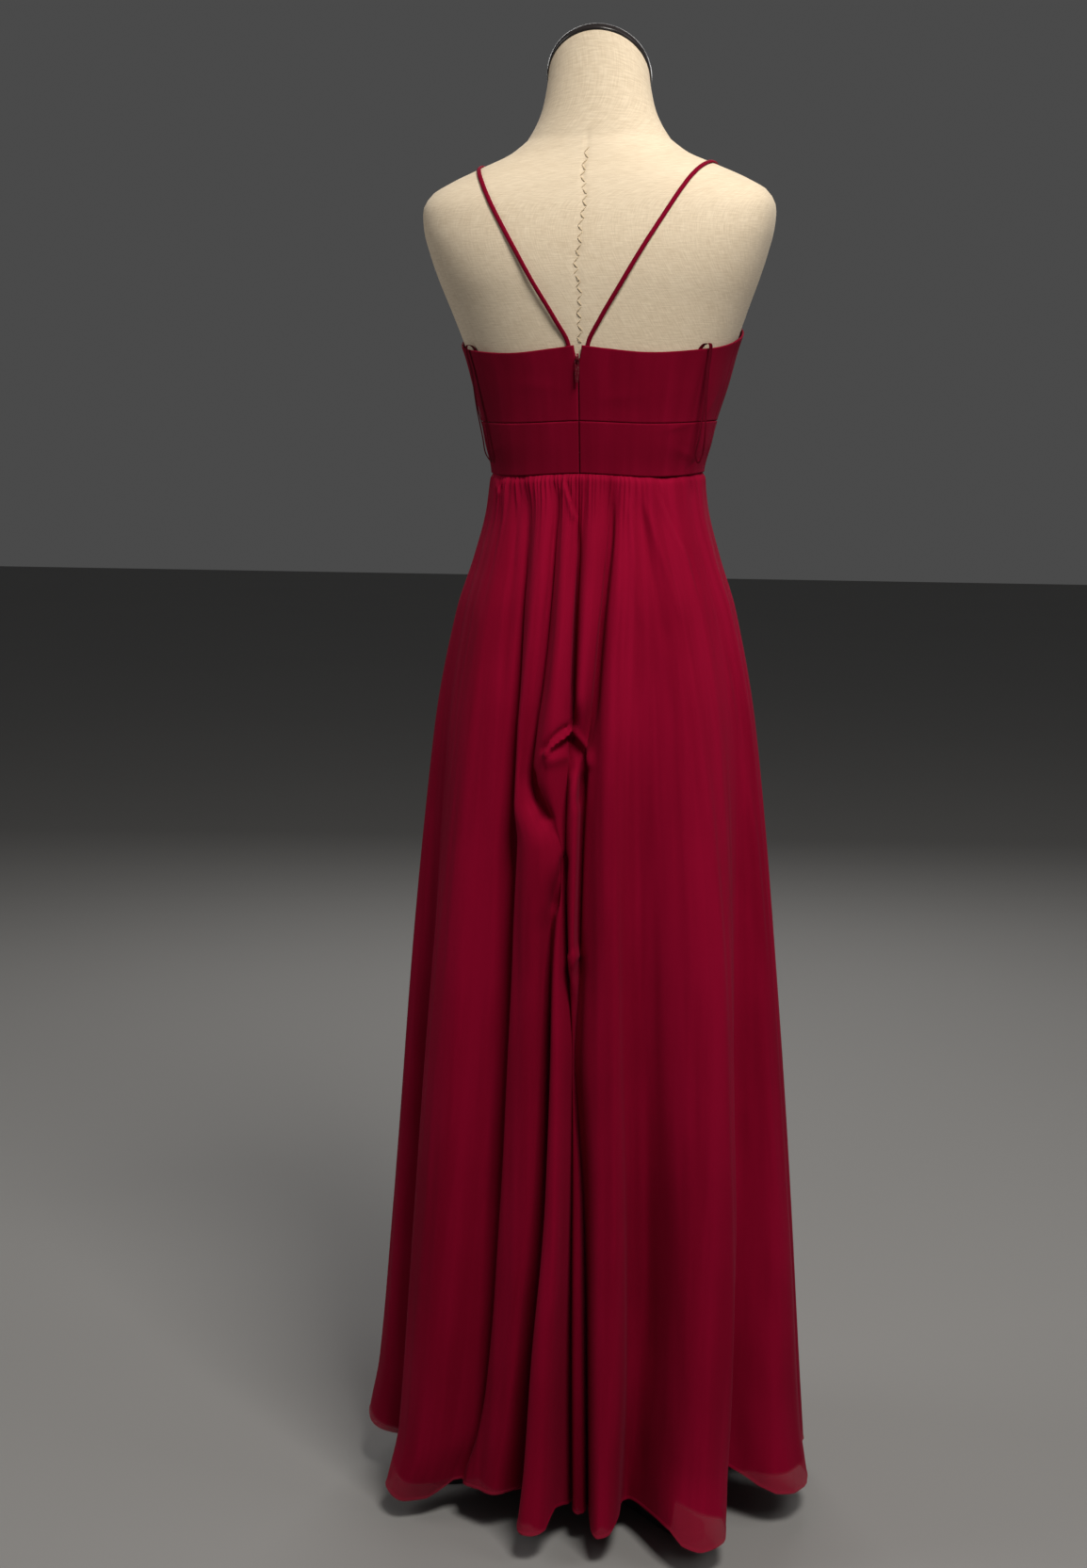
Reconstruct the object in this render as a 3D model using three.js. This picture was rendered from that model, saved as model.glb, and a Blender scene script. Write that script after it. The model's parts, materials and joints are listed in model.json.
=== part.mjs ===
// A floor-length chiffon prom dress on a limbless dress form and its stand.
//
// Millimetres, +Z up, the floor at Z = 0 and the stand's axis on the Z axis. The dress faces -Y, so its back,
// with the zip, is towards +Y, and the wearer's right is -X. An angle round the figure is counted in degrees
// from the centre back towards the wearer's right: 0 is the centre back, 90 the right side, 180 the centre
// front and 270 (or -90) the left side.
//
// Each cloth piece is a thin wall whose outer face is a function of the place round and up the figure. The
// bodice pieces are the form's own surface moved out. The skirt hangs in folds from a gathered waist.

import * as THREE from 'three';

// ---- driving dimensions ----------------------------------------------------------------------------------

const SEAM_GAP = 0.3; // between two pieces that meet
const HEM_Z = 30; // the skirt's hem above the floor
const WAIST_Z = 1149; // the seam between waistband and skirt
const BAND_TOP_Z = 1203; // the seam between waistband and bodice
const WAIST_DIP = { depth: 4, angle: 50, spread: 22 }; // both seams dip each side of the centre back
const BAND_DIP = { depth: 3, angle: 45, spread: 24 };
const FORM_BOTTOM_Z = 800;
const FORM_COLUMNS = 40;

const BODICE_EASE = 2.4; // the gap between form and bodice, which holds the zip tape and the strap ends
const BODICE_WALL = 1.8;
const BAND_PROUD = 0.5; // how far the waistband stands out past the bodice above it
const SKIRT_WALL = 1.2;
const SKIRT_POWER = 2.1; // how square the skirt's oval outline is: 2 is a true oval

const ZIP_HALF_GAP = 0.5; // the back panels' edges each side of the centre back
const ZIP_TAPE = { width: 14, thickness: 0.9, bottom: 1105, top: 1266 };
const NOTCH = { bottom: 1256, top: 1281, halfWidth: 4.2 }; // where the back edges part above the slider
const SLIDER = {
  z: 1266,
  width: 2.6,
  halfHeight: 4.5,
  plate: 1.6,
  clear: 0.1, // from the back panels' outer faces at the slider's middle
  bridgeHalfHeight: 3.2,
  eyeHalfHeight: 2.2,
  eyeDepth: 2,
  bar: 1,
};
const PULL = { length: 24, width: 5, thickness: 1, hole: 3.4, holeLength: 5.4, bar: 1 };

const STRAP = { width: 5, thickness: 1.4, clear: 0.8, tuck: 9 };
const LOOP = { width: 3, thickness: 0.9, drop: 118, spread: 4.5, tuck: 8 };

const CAP = { thickness: 9, overhang: 1.8, dome: 3 };
const POLE = { radius: 12.5, bossRadius: 30, bossHeight: 16, flangeRadius: 36, flangeThickness: 6 };
const BASE = { legs: 3, legLength: 195, legWidth: 34, hubRadius: 38, thickness: 12, turn: 18 };

// ---- short tables ----------------------------------------------------------------------------------------

// The form's level sections: half width, depth to the back, depth to the front, and how square the oval is.
const FORM_SECTIONS = [
  { z: 800, side: 138, back: 100, front: 80, power: 2.2 },
  { z: 830, side: 149, back: 110, front: 87, power: 2.2 },
  { z: 880, side: 155, back: 117, front: 95, power: 2.2 },
  { z: 930, side: 153, back: 116, front: 99, power: 2.2 },
  { z: 980, side: 144, back: 108, front: 98, power: 2.2 },
  { z: 1030, side: 130, back: 97, front: 93, power: 2.2 },
  { z: 1080, side: 116.5, back: 89, front: 87, power: 2.2 },
  { z: 1100, side: 112, back: 87, front: 84.5, power: 2.2 },
  { z: 1120, side: 109, back: 86, front: 83, power: 2.2 },
  { z: 1150, side: 109.5, back: 87, front: 84, power: 2.2 },
  { z: 1180, side: 116, back: 89, front: 88, power: 2.2 },
  { z: 1210, side: 121.5, back: 91, front: 93, power: 2.2 },
  { z: 1240, side: 129, back: 94, front: 98, power: 2.2 },
  { z: 1270, side: 137, back: 97, front: 101, power: 2.25 },
  { z: 1290, side: 144.5, back: 99, front: 101, power: 2.3 },
  { z: 1318, side: 156, back: 101, front: 98, power: 2.4 },
  { z: 1347, side: 168, back: 102, front: 92, power: 2.6 },
  { z: 1376, side: 178, back: 100, front: 84, power: 2.8 },
  { z: 1402, side: 185, back: 95, front: 75, power: 2.9 },
  { z: 1420, side: 186.5, back: 90, front: 69, power: 2.9 },
  { z: 1436, side: 180, back: 84, front: 63, power: 2.7 },
  { z: 1450, side: 158, back: 78, front: 58, power: 2.5 },
  { z: 1464, side: 127, back: 71, front: 54, power: 2.3 },
  { z: 1478, side: 95, back: 65, front: 51.5, power: 2.1 },
  { z: 1492, side: 76, back: 60, front: 50, power: 2 },
];

// The neck's sections, which tilt more and more towards the front: slope is the rise towards the back.
const NECK_SECTIONS = [
  { z: 1505, side: 67, back: 56.5, front: 49, slope: 0.15 },
  { z: 1518, side: 60.5, back: 54, front: 48.5, slope: 0.35 },
  { z: 1532, side: 56.5, back: 52, front: 48, slope: 0.55 },
  { z: 1545, side: 54, back: 50.5, front: 48, slope: 0.74 },
  { z: 1553, side: 53, back: 50, front: 48, slope: 0.85 },
];

// The bust of a general figure: two soft mounds, each this far round from the centre front, with a shallower
// one between them. They fall away more slowly above than below.
const BUST = { z: 1256, angle: 40, reach: 17, between: 0.35, spreadAngle: 27, spreadBelow: 46, spreadAbove: 53 };

// The bodice's top edge, by angle from the centre back. The front is the same on both sides.
const TOP_EDGE = [
  { angle: 0, z: 1279 },
  { angle: 14, z: 1276 },
  { angle: 40, z: 1272 },
  { angle: 70, z: 1277 },
  { angle: 90, z: 1286 },
  { angle: 115, z: 1306 },
  { angle: 140, z: 1344 },
  { angle: 147, z: 1346 },
  { angle: 160, z: 1318 },
  { angle: 172, z: 1291 },
  { angle: 180, z: 1284 },
];

// The skirt's outline without its folds.
const SKIRT_SECTIONS = [
  { z: HEM_Z, side: 215, back: 175, front: 185 },
  { z: 300, side: 204, back: 165, front: 172 },
  { z: 600, side: 190, back: 154, front: 155 },
  { z: 870, side: 171, back: 140, front: 131 },
  { z: 1000, side: 149, back: 124, front: 118 },
  { z: 1060, side: 131, back: 111, front: 107 },
  { z: 1110, side: 119, back: 99, front: 97.5 },
  { z: WAIST_Z, side: 114.4, back: 93.2, front: 92 },
];

// The skirt's main folds. Each row is one ridge and the valley that follows it, going round from the left side
// seam over the back to the right side seam and then over the front. Angles are at the waist, hip, knee and
// hem; reach is how far the line stands out past the outline at hip, knee and hem, negative for inwards.
const FOLD_LEVELS = { waist: WAIST_Z, hip: 870, knee: 600, hem: HEM_Z };
const FOLDS = [
  { ridge: [-80, -85, -85, -85], reach: [9, 19, 46], valley: [-70, -72, -70, -68], dip: [-4, -10, -30] },
  { ridge: [-55, -52, -52, -49], reach: [8, 20, 52], valley: [-36, -27, -31, -41], dip: [-8, -18, -12] },
  { ridge: [-21, -20, -18, -31], reach: [4, 6, 0], valley: [-9, -14, -11, -25.5], dip: [-8, -18, -38] },
  { ridge: [-5, -6, -5, -7], reach: [8, 10, 44], valley: [0, 0, 0, 0], dip: [-6, -14, -34] },
  { ridge: [8, 5.5, 3.6, 6.5], reach: [7, -5, -8], valley: [18.5, 10.5, 7, 11], dip: [-6, -13, -32] },
  { ridge: [24, 17, 13, 15.5], reach: [6, 10, 38], valley: [34, 25, 25, 24.5], dip: [-3, -12, -38] },
  { ridge: [48, 52, 51, 37], reach: [7, 20, 76], valley: [67, 72, 74, 60], dip: [-5, -14, -42] },
  { ridge: [80, 84, 84, 79], reach: [5, 12, 38], valley: [90, 93, 95, 99], dip: [-6, -16, -34] },
  { ridge: [103, 105, 107, 110], reach: [6, 15, 34], valley: [115, 117, 119, 121], dip: [-5, -16, -36] },
  { ridge: [128, 130, 131, 133], reach: [7, 18, 44], valley: [140, 142, 144, 146], dip: [-5, -16, -30] },
  { ridge: [154, 155, 156, 158], reach: [6, 14, 28], valley: [167, 167, 168, 170], dip: [-5, -16, -38] },
  { ridge: [180, 180, 181, 182], reach: [7, 18, 46], valley: [193, 193, 194, 195], dip: [-5, -15, -30] },
  { ridge: [206, 205, 206, 207], reach: [6, 14, 30], valley: [219, 217, 217, 218], dip: [-5, -16, -36] },
  { ridge: [231, 229, 229, 230], reach: [7, 18, 44], valley: [244, 241, 241, 241], dip: [-5, -15, -30] },
  { ridge: [257, 255, 253, 252], reach: [6, 14, 34], valley: [270, 268, 266, 262], dip: [-5, -16, -32] },
];
const FOLDS_BACK_LEFT = 4; // how many of them lie on each back panel
const FOLDS_BACK_RIGHT = 4;
const FOLD_ROUNDNESS = { waist: 1, hem: 2.3 }; // 1 is a plain wave; more makes rounder lobes, steeper sides

// The small gathers under the waistband.
const GATHERS = { perHalfFold: 2, height: 1.5, length: 75, heldDepth: 6, heldShare: 0.55 };

// The tuck at the seat, where the cloth is caught in beside the centre back seam and bulges out below.
const TUCK = [
  { angle: 4, z: 848, spreadAngle: 4.2, spreadZ: 26, reach: -9 },
  { angle: -6, z: 876, spreadAngle: 6, spreadZ: 20, reach: 5 },
  { angle: -11, z: 800, spreadAngle: 7, spreadZ: 34, reach: 8 },
];

// The hanging loops: where each leaves the top edge, and how far it hangs off the form on its way down.
const LOOPS = [
  { angle: -66, hang: [7, 10, 9, 7] },
  { angle: 66, hang: [9, 15, 20, 21] },
];

const COLOURS = {
  chiffon: 0x830c28,
  satin: 0x6d0a24,
  linen: 0xd9c8a8,
  cap: 0x1a1716,
  metal: 0x6a2a35,
  iron: 0x24262a,
};

// ---- small helpers ---------------------------------------------------------------------------------------

const radians = THREE.MathUtils.degToRad;
const lerp = THREE.MathUtils.lerp;
const clamp01 = (x) => THREE.MathUtils.clamp(x, 0, 1);
const smoothStep = (x) => THREE.MathUtils.smoothstep(x, 0, 1);
const bell = (x, spread) => Math.exp(-0.5 * (x / spread) ** 2);

// A place at an angle round the figure, this far from the axis and this high.
const place = (angle, radius, z) =>
  new THREE.Vector3(-radius * Math.sin(radians(angle)), radius * Math.cos(radians(angle)), z);

// Evenly spaced numbers from first to last, both included.
const steps = (first, last, count) => Array.from({ length: count + 1 }, (_, i) => lerp(first, last, i / count));

// The slope of a curve through (xs, ys) at point i that never overshoots between the points.
function gentleSlope(xs, ys, i) {
  if (i === 0) return (ys[1] - ys[0]) / (xs[1] - xs[0]);
  const last = xs.length - 1;
  if (i === last) return (ys[last] - ys[last - 1]) / (xs[last] - xs[last - 1]);
  const before = (ys[i] - ys[i - 1]) / (xs[i] - xs[i - 1]);
  const after = (ys[i + 1] - ys[i]) / (xs[i + 1] - xs[i]);
  return before * after <= 0 ? 0 : (2 * before * after) / (before + after);
}

// A smooth curve through the points (xs, ys), with xs rising.
function smoothThrough(xs, ys, x) {
  const at = THREE.MathUtils.clamp(x, xs[0], xs[xs.length - 1]);
  let i = 0;
  while (i < xs.length - 2 && at > xs[i + 1]) i++;
  const width = xs[i + 1] - xs[i];
  const t = (at - xs[i]) / width;
  const start = gentleSlope(xs, ys, i) * width;
  const end = gentleSlope(xs, ys, i + 1) * width;
  return (
    ys[i] * (2 * t ** 3 - 3 * t ** 2 + 1) +
    start * (t ** 3 - 2 * t ** 2 + t) +
    ys[i + 1] * (3 * t ** 2 - 2 * t ** 3) +
    end * (t ** 3 - t ** 2)
  );
}

// A table's column at a value of another column.
const column = (table, from, to, x) =>
  smoothThrough(
    table.map((row) => row[from]),
    table.map((row) => row[to]),
    x,
  );

// How far an oval with these half sizes reaches at an angle.
function oval(angle, side, back, front, power) {
  const across = Math.abs(Math.sin(radians(angle))) / side;
  const along = Math.cos(radians(angle));
  return (across ** power + Math.abs(along / (along > 0 ? back : front)) ** power) ** (-1 / power);
}

// ---- solids from grids of points -------------------------------------------------------------------------

function solid(points, triangles) {
  const geometry = new THREE.BufferGeometry();
  geometry.setAttribute('position', new THREE.Float32BufferAttribute(points.flatMap((p) => p.toArray()), 3));
  geometry.setIndex(triangles);
  geometry.computeVertexNormals();
  return geometry;
}

// A point of a surface moved level, so that it ends this far outside the surface. u runs round with the angle
// and v runs up, and du and dv are small steps along them.
function movedOut(surface, u, v, du, dv, distance) {
  const round = surface(u + du, v).sub(surface(u - du, v));
  const up = surface(u, v + dv).sub(surface(u, v - dv));
  const level = round.cross(up).normalize().setZ(0);
  return surface(u, v).addScaledVector(level, distance / level.lengthSq());
}

// A wall whose outer face is surface(u, v) at every u in us (running round) and v in vs (running up).
function wall(surface, us, vs, thickness) {
  const du = Math.abs(us[1] - us[0]) * 0.02;
  const dv = Math.abs(vs[1] - vs[0]) * 0.02;
  const points = [];
  for (const inwards of [0, thickness]) {
    for (const v of vs) {
      for (const u of us) {
        points.push(movedOut(surface, u, v, du, dv, -inwards));
      }
    }
  }
  const across = us.length;
  const layer = across * vs.length;
  const at = (i, j, inner) => inner * layer + j * across + i;
  const triangles = [];
  const quad = (a, b, c, d) => triangles.push(a, b, c, a, c, d);
  const lastI = across - 1;
  const lastJ = vs.length - 1;
  for (let j = 0; j < lastJ; j++) {
    for (let i = 0; i < lastI; i++) {
      quad(at(i, j, 0), at(i + 1, j, 0), at(i + 1, j + 1, 0), at(i, j + 1, 0));
      quad(at(i, j, 1), at(i, j + 1, 1), at(i + 1, j + 1, 1), at(i + 1, j, 1));
    }
    quad(at(0, j, 0), at(0, j + 1, 0), at(0, j + 1, 1), at(0, j, 1));
    quad(at(lastI, j + 1, 0), at(lastI, j, 0), at(lastI, j, 1), at(lastI, j + 1, 1));
  }
  for (let i = 0; i < lastI; i++) {
    quad(at(i + 1, 0, 0), at(i, 0, 0), at(i, 0, 1), at(i + 1, 0, 1));
    quad(at(i, lastJ, 0), at(i + 1, lastJ, 0), at(i + 1, lastJ, 1), at(i, lastJ, 1));
  }
  return solid(points, triangles);
}

// A solid through closed rings of points, bottom to top, each ring running round with the angle.
function loft(rings) {
  const count = rings[0].length;
  const points = rings.flat();
  const triangles = [];
  for (let j = 0; j < rings.length - 1; j++) {
    for (let i = 0; i < count; i++) {
      const a = j * count + i;
      const b = j * count + ((i + 1) % count);
      triangles.push(a, b, b + count, a, b + count, a + count);
    }
  }
  const cap = (ring, facingUp) => {
    const middle = points.push(ring.reduce((sum, p) => sum.add(p), new THREE.Vector3()).divideScalar(count)) - 1;
    const first = facingUp ? (rings.length - 1) * count : 0;
    for (let i = 0; i < count; i++) {
      const a = first + i;
      const b = first + ((i + 1) % count);
      triangles.push(...(facingUp ? [middle, a, b] : [middle, b, a]));
    }
  };
  cap(rings[0], false);
  cap(rings[rings.length - 1], true);
  return solid(points, triangles);
}

// A flat ribbon along a path. Each stop has a point and the direction that the ribbon's face looks in.
function ribbon(stops, width, thickness) {
  const rings = stops.map(({ point, facing }, i) => {
    const before = stops[Math.max(i - 1, 0)].point;
    const after = stops[Math.min(i + 1, stops.length - 1)].point;
    const along = after.clone().sub(before).normalize();
    const across = along.clone().cross(facing).normalize();
    const out = across.clone().cross(along).normalize();
    const corners = [
      [0.5, 0],
      [0.36, 0.5],
      [-0.36, 0.5],
      [-0.5, 0],
      [-0.36, -0.5],
      [0.36, -0.5],
    ];
    return corners.map(([x, y]) =>
      point.clone().addScaledVector(across, x * width).addScaledVector(out, -y * thickness),
    );
  });
  return loft(rings);
}

// ---- the dress form --------------------------------------------------------------------------------------

function bustReach(angle, z) {
  const fromFront = Math.abs(180 - (((angle % 360) + 360) % 360));
  const side = bell(fromFront - BUST.angle, BUST.spreadAngle);
  const middle = BUST.between * bell(fromFront, BUST.spreadAngle);
  return BUST.reach * (side + middle) * bell(z - BUST.z, z > BUST.z ? BUST.spreadAbove : BUST.spreadBelow);
}

const formSection = (z) => {
  const at = (name) => column(FORM_SECTIONS, 'z', name, z);
  return { side: at('side'), back: at('back'), front: at('front'), power: at('power') };
};

function formRadius(angle, z) {
  const { side, back, front, power } = formSection(z);
  return oval(angle, side, back, front, power) + bustReach(angle, z);
}

// The form's surface moved out by some distance, as a function of the angle and the height.
const outsideForm = (distance) => (angle, z) => {
  const surface = (a, h) => place(a, formRadius(a, h), h);
  return movedOut(surface, angle, z, 0.5, 1, distance);
};

function torso() {
  const round = steps(0, 360, FORM_COLUMNS).slice(0, -1);
  const levels = FORM_SECTIONS.map((row) => row.z);
  const rings = levels.map((z) => round.map((angle) => place(angle, formRadius(angle, z), z)));
  for (const { z, side, back, front, slope } of NECK_SECTIONS) {
    rings.push(neckRing(round, z, side, back, front, slope));
  }
  return loft(rings);
}

function neckRing(round, z, side, back, front, slope) {
  return round.map((angle) => {
    const point = place(angle, oval(angle, side, back, front, 2), z);
    point.z += slope * point.y;
    return point;
  });
}

// The cap over the sloping cut of the neck, 0.3 mm clear of it.
function neckCap() {
  const round = steps(0, 360, FORM_COLUMNS).slice(0, -1);
  const { z, side, back, front, slope } = NECK_SECTIONS[NECK_SECTIONS.length - 1];
  const up = new THREE.Vector3(0, -slope, 1).normalize();
  const layers = [
    { rise: SEAM_GAP, grow: -2 },
    { rise: SEAM_GAP, grow: CAP.overhang - 1 },
    { rise: SEAM_GAP + 1.2, grow: CAP.overhang },
    { rise: CAP.thickness - 1.8, grow: CAP.overhang },
    { rise: CAP.thickness, grow: CAP.overhang - 2 },
    { rise: CAP.thickness + CAP.dome, grow: -24 },
  ];
  return loft(
    layers.map(({ rise, grow }) =>
      neckRing(round, z, side + grow, back + grow, front + grow, slope).map((p) => p.addScaledVector(up, rise)),
    ),
  );
}

// ---- the bodice ------------------------------------------------------------------------------------------

const fromBack = (angle) => {
  const turned = ((angle % 360) + 360) % 360;
  return turned > 180 ? 360 - turned : turned;
};
const topEdgeZ = (angle) => column(TOP_EDGE, 'angle', 'z', fromBack(angle));

const seamDip = ({ depth, angle, spread }, at) => depth * bell(fromBack(at) - angle, spread);
const waistSeamZ = (angle) => WAIST_Z - seamDip(WAIST_DIP, angle);
const bandSeamZ = (angle) => BAND_TOP_Z - seamDip(BAND_DIP, angle);

// A piece of the bodice between two angles and two edges. Each edge is a height as a function of the angle, and
// `parted` moves the piece's edge away from the centre back, in mm, as a function of the height.
function bodicePiece({ from, to, columns, rows, bottom, top, distance, thickness, parted }) {
  const shell = outsideForm(distance);
  const surface = (t, v) => {
    const angle = lerp(from, to, t);
    const z = lerp(bottom(angle), top(angle), v);
    const radius = formRadius(angle, z);
    const degreesOf = (mm) => THREE.MathUtils.radToDeg(mm / radius);
    const start = from + degreesOf(parted.start(z));
    const end = to - degreesOf(parted.end(z));
    return shell(lerp(start, end, t), z);
  };
  return wall(surface, steps(0, 1, columns), steps(0, 1, rows), thickness);
}

const sewn = () => SEAM_GAP / 2;
const zipped = () => ZIP_HALF_GAP;
const notched = (z) => {
  const up = smoothStep((z - NOTCH.bottom) / (NOTCH.top - NOTCH.bottom));
  return lerp(ZIP_HALF_GAP, NOTCH.halfWidth, up);
};

const BODICE = {
  bottom: (angle) => bandSeamZ(angle) + SEAM_GAP / 2,
  top: topEdgeZ,
  distance: BODICE_EASE + BODICE_WALL,
  thickness: BODICE_WALL,
};
const BAND = {
  bottom: (angle) => waistSeamZ(angle) + SEAM_GAP / 2,
  top: (angle) => bandSeamZ(angle) - SEAM_GAP / 2,
  distance: BODICE_EASE + BODICE_WALL + BAND_PROUD,
  thickness: BODICE_WALL + BAND_PROUD,
};

const bodiceBackRight = () =>
  bodicePiece({ ...BODICE, from: 0, to: 90, columns: 14, rows: 7, parted: { start: notched, end: sewn } });
const bodiceBackLeft = () =>
  bodicePiece({ ...BODICE, from: -90, to: 0, columns: 14, rows: 7, parted: { start: sewn, end: notched } });
const bodiceFront = () =>
  bodicePiece({ ...BODICE, from: 90, to: 270, columns: 28, rows: 7, parted: { start: sewn, end: sewn } });
const bandBackRight = () =>
  bodicePiece({ ...BAND, from: 0, to: 90, columns: 12, rows: 2, parted: { start: zipped, end: sewn } });
const bandBackLeft = () =>
  bodicePiece({ ...BAND, from: -90, to: 0, columns: 12, rows: 2, parted: { start: sewn, end: zipped } });
const bandFront = () =>
  bodicePiece({ ...BAND, from: 90, to: 270, columns: 26, rows: 2, parted: { start: sewn, end: sewn } });

// ---- the skirt -------------------------------------------------------------------------------------------

const LEVEL_HEIGHTS = [FOLD_LEVELS.hem, FOLD_LEVELS.knee, FOLD_LEVELS.hip, FOLD_LEVELS.waist];

// Ridges and valleys in order round the figure. Line 0 is the left side seam's valley, one turn back.
const FOLD_LINES = FOLDS.flatMap(({ ridge, reach, valley, dip }) => [
  { angles: ridge, reaches: reach },
  { angles: valley, reaches: dip },
]);
const LAST_LINE = FOLD_LINES[FOLD_LINES.length - 1];
FOLD_LINES.unshift({ angles: LAST_LINE.angles.map((angle) => angle - 360), reaches: LAST_LINE.reaches });

function skirtOutline(angle, z) {
  const at = (name) => column(SKIRT_SECTIONS, 'z', name, z);
  return oval(angle, at('side'), at('back'), at('front'), SKIRT_POWER);
}

// Where a fold line is at a height: its angle and its distance from the axis.
function foldLine(index, z) {
  const { angles, reaches } = FOLD_LINES[index];
  const angle = smoothThrough(LEVEL_HEIGHTS, [...angles].reverse(), z);
  const reach = smoothThrough(LEVEL_HEIGHTS, [...[...reaches].reverse(), 0], z);
  return { angle, radius: skirtOutline(angle, z) + reach };
}

// How high the small gathers stand at a depth below the waist: held flatter at the seam, full just below it.
function gatherHeight(depth) {
  const { height, length, heldDepth, heldShare } = GATHERS;
  return height * Math.exp(-((depth / length) ** 2)) * smoothStep(depth / heldDepth + heldShare);
}

function tuckReach(angle, z) {
  return TUCK.reduce(
    (sum, t) => sum + t.reach * bell(angle - t.angle, t.spreadAngle) * bell(z - t.z, t.spreadZ),
    0,
  );
}

// The skirt's outer face. u counts fold lines from the left side seam, so that each whole number is a ridge or
// a valley, and v is 0 at the hem and 1 at the waist.
function skirtPoint(u, v) {
  const index = THREE.MathUtils.clamp(Math.floor(u), 0, FOLD_LINES.length - 2);
  const t = u - index;
  const nominal = lerp(HEM_Z, WAIST_Z, v);
  const from = foldLine(index, nominal);
  const to = foldLine(index + 1, nominal);
  const round = lerp(FOLD_ROUNDNESS.hem, FOLD_ROUNDNESS.waist, smoothStep(clamp01(v * 1.15)));
  const ease = 3 * t ** 2 - 2 * t ** 3;
  const along = ease + round * (2 * t ** 3 - 3 * t ** 2 + t);
  const angle = lerp(from.angle, to.angle, along);
  const depth = WAIST_Z - nominal;
  const gather = gatherHeight(depth) * Math.cos(2 * Math.PI * GATHERS.perHalfFold * t);
  const radius = lerp(from.radius, to.radius, ease) + gather + tuckReach(angle, nominal);
  const seamDrop = (WAIST_Z - waistSeamZ(angle) + SEAM_GAP / 2) * smoothStep(clamp01(v * 6 - 5));
  return place(angle, radius, nominal - seamDrop);
}

const COLUMNS_PER_LINE = 4;
const SKIRT_HEIGHTS = [HEM_Z, 190, 360, 520, 660, 760, 806, 844, 880, 960, 1040, 1095, 1125, 1141, WAIST_Z];

// A skirt panel from one fold line to another, short of its seams.
function skirtPanel(first, last) {
  const us = steps(first, last, (last - first) * COLUMNS_PER_LINE);
  const vs = SKIRT_HEIGHTS.map((z) => (z - HEM_Z) / (WAIST_Z - HEM_Z));
  const surface = (u, v) => {
    const point = skirtPoint(u, v);
    const radius = Math.hypot(point.x, point.y);
    const offSeam = (u <= first + 0.05 ? 1 : 0) - (u >= last - 0.05 ? 1 : 0);
    const turn = (offSeam * SEAM_GAP * 0.5) / radius;
    return point.applyAxisAngle(new THREE.Vector3(0, 0, 1), turn);
  };
  return wall(surface, us, vs, SKIRT_WALL);
}

// ---- straps, loops and zip -------------------------------------------------------------------------------

// How far a point is from the form's surface, as a fraction: below 0 inside, above 0 outside.
function formField(point) {
  const angle = THREE.MathUtils.radToDeg(Math.atan2(-point.x, point.y));
  return Math.hypot(point.x, point.y) / formRadius(angle, point.z) - 1;
}

function formSlope(point) {
  const step = 0.5;
  const along = (axis) => {
    const ahead = point.clone().addScaledVector(axis, step);
    const behind = point.clone().addScaledVector(axis, -step);
    return (formField(ahead) - formField(behind)) / (2 * step);
  };
  return new THREE.Vector3(
    along(new THREE.Vector3(1, 0, 0)),
    along(new THREE.Vector3(0, 1, 0)),
    along(new THREE.Vector3(0, 0, 1)),
  );
}

// The nearest place this far outside the form, and the direction straight out from it.
function onForm(guess, distance) {
  const point = guess.clone();
  for (let i = 0; i < 8; i++) {
    const slope = formSlope(point);
    point.addScaledVector(slope, -formField(point) / slope.lengthSq());
  }
  const facing = formSlope(point).normalize();
  return { point: point.addScaledVector(facing, distance), facing };
}

// A strap lies on the shoulder from the centre back to the front neckline. side is 1 on the wearer's right.
function strap(side) {
  const inGap = BODICE_EASE / 2;
  const onShoulder = STRAP.clear + STRAP.thickness / 2;
  const guides = [
    { across: 10.5, y: 97, z: 1277 - STRAP.tuck, off: inGap },
    { across: 10.5, y: 98, z: 1281, off: inGap },
    { across: 24, y: 101, z: 1306, off: 3.2 },
    { across: 45, y: 102, z: 1340, off: 4 },
    { across: 68, y: 100, z: 1378, off: 2.6 },
    { across: 90, y: 90, z: 1414, off: onShoulder },
    { across: 108, y: 68, z: 1444, off: onShoulder },
    { across: 119, y: 40, z: 1461, off: onShoulder },
    { across: 123, y: 10, z: 1467, off: onShoulder },
    { across: 120, y: -20, z: 1462, off: onShoulder },
    { across: 111, y: -46, z: 1444, off: onShoulder },
    { across: 98, y: -68, z: 1412, off: onShoulder },
    { across: 86, y: -84, z: 1378, off: onShoulder },
    { across: 77, y: -94, z: 1350, off: inGap },
    { across: 75, y: -98, z: 1344 - STRAP.tuck, off: inGap },
  ];
  const path = new THREE.CatmullRomCurve3(guides.map((g) => new THREE.Vector3(-side * g.across, g.y, g.z)));
  const stops = steps(0, 1, 32).map((t) => {
    const off = smoothThrough(
      guides.map((_, i) => i),
      guides.map((g) => g.off),
      t * (guides.length - 1),
    );
    return onForm(path.getPoint(t), off);
  });
  return ribbon(stops, STRAP.width, STRAP.thickness);
}

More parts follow.
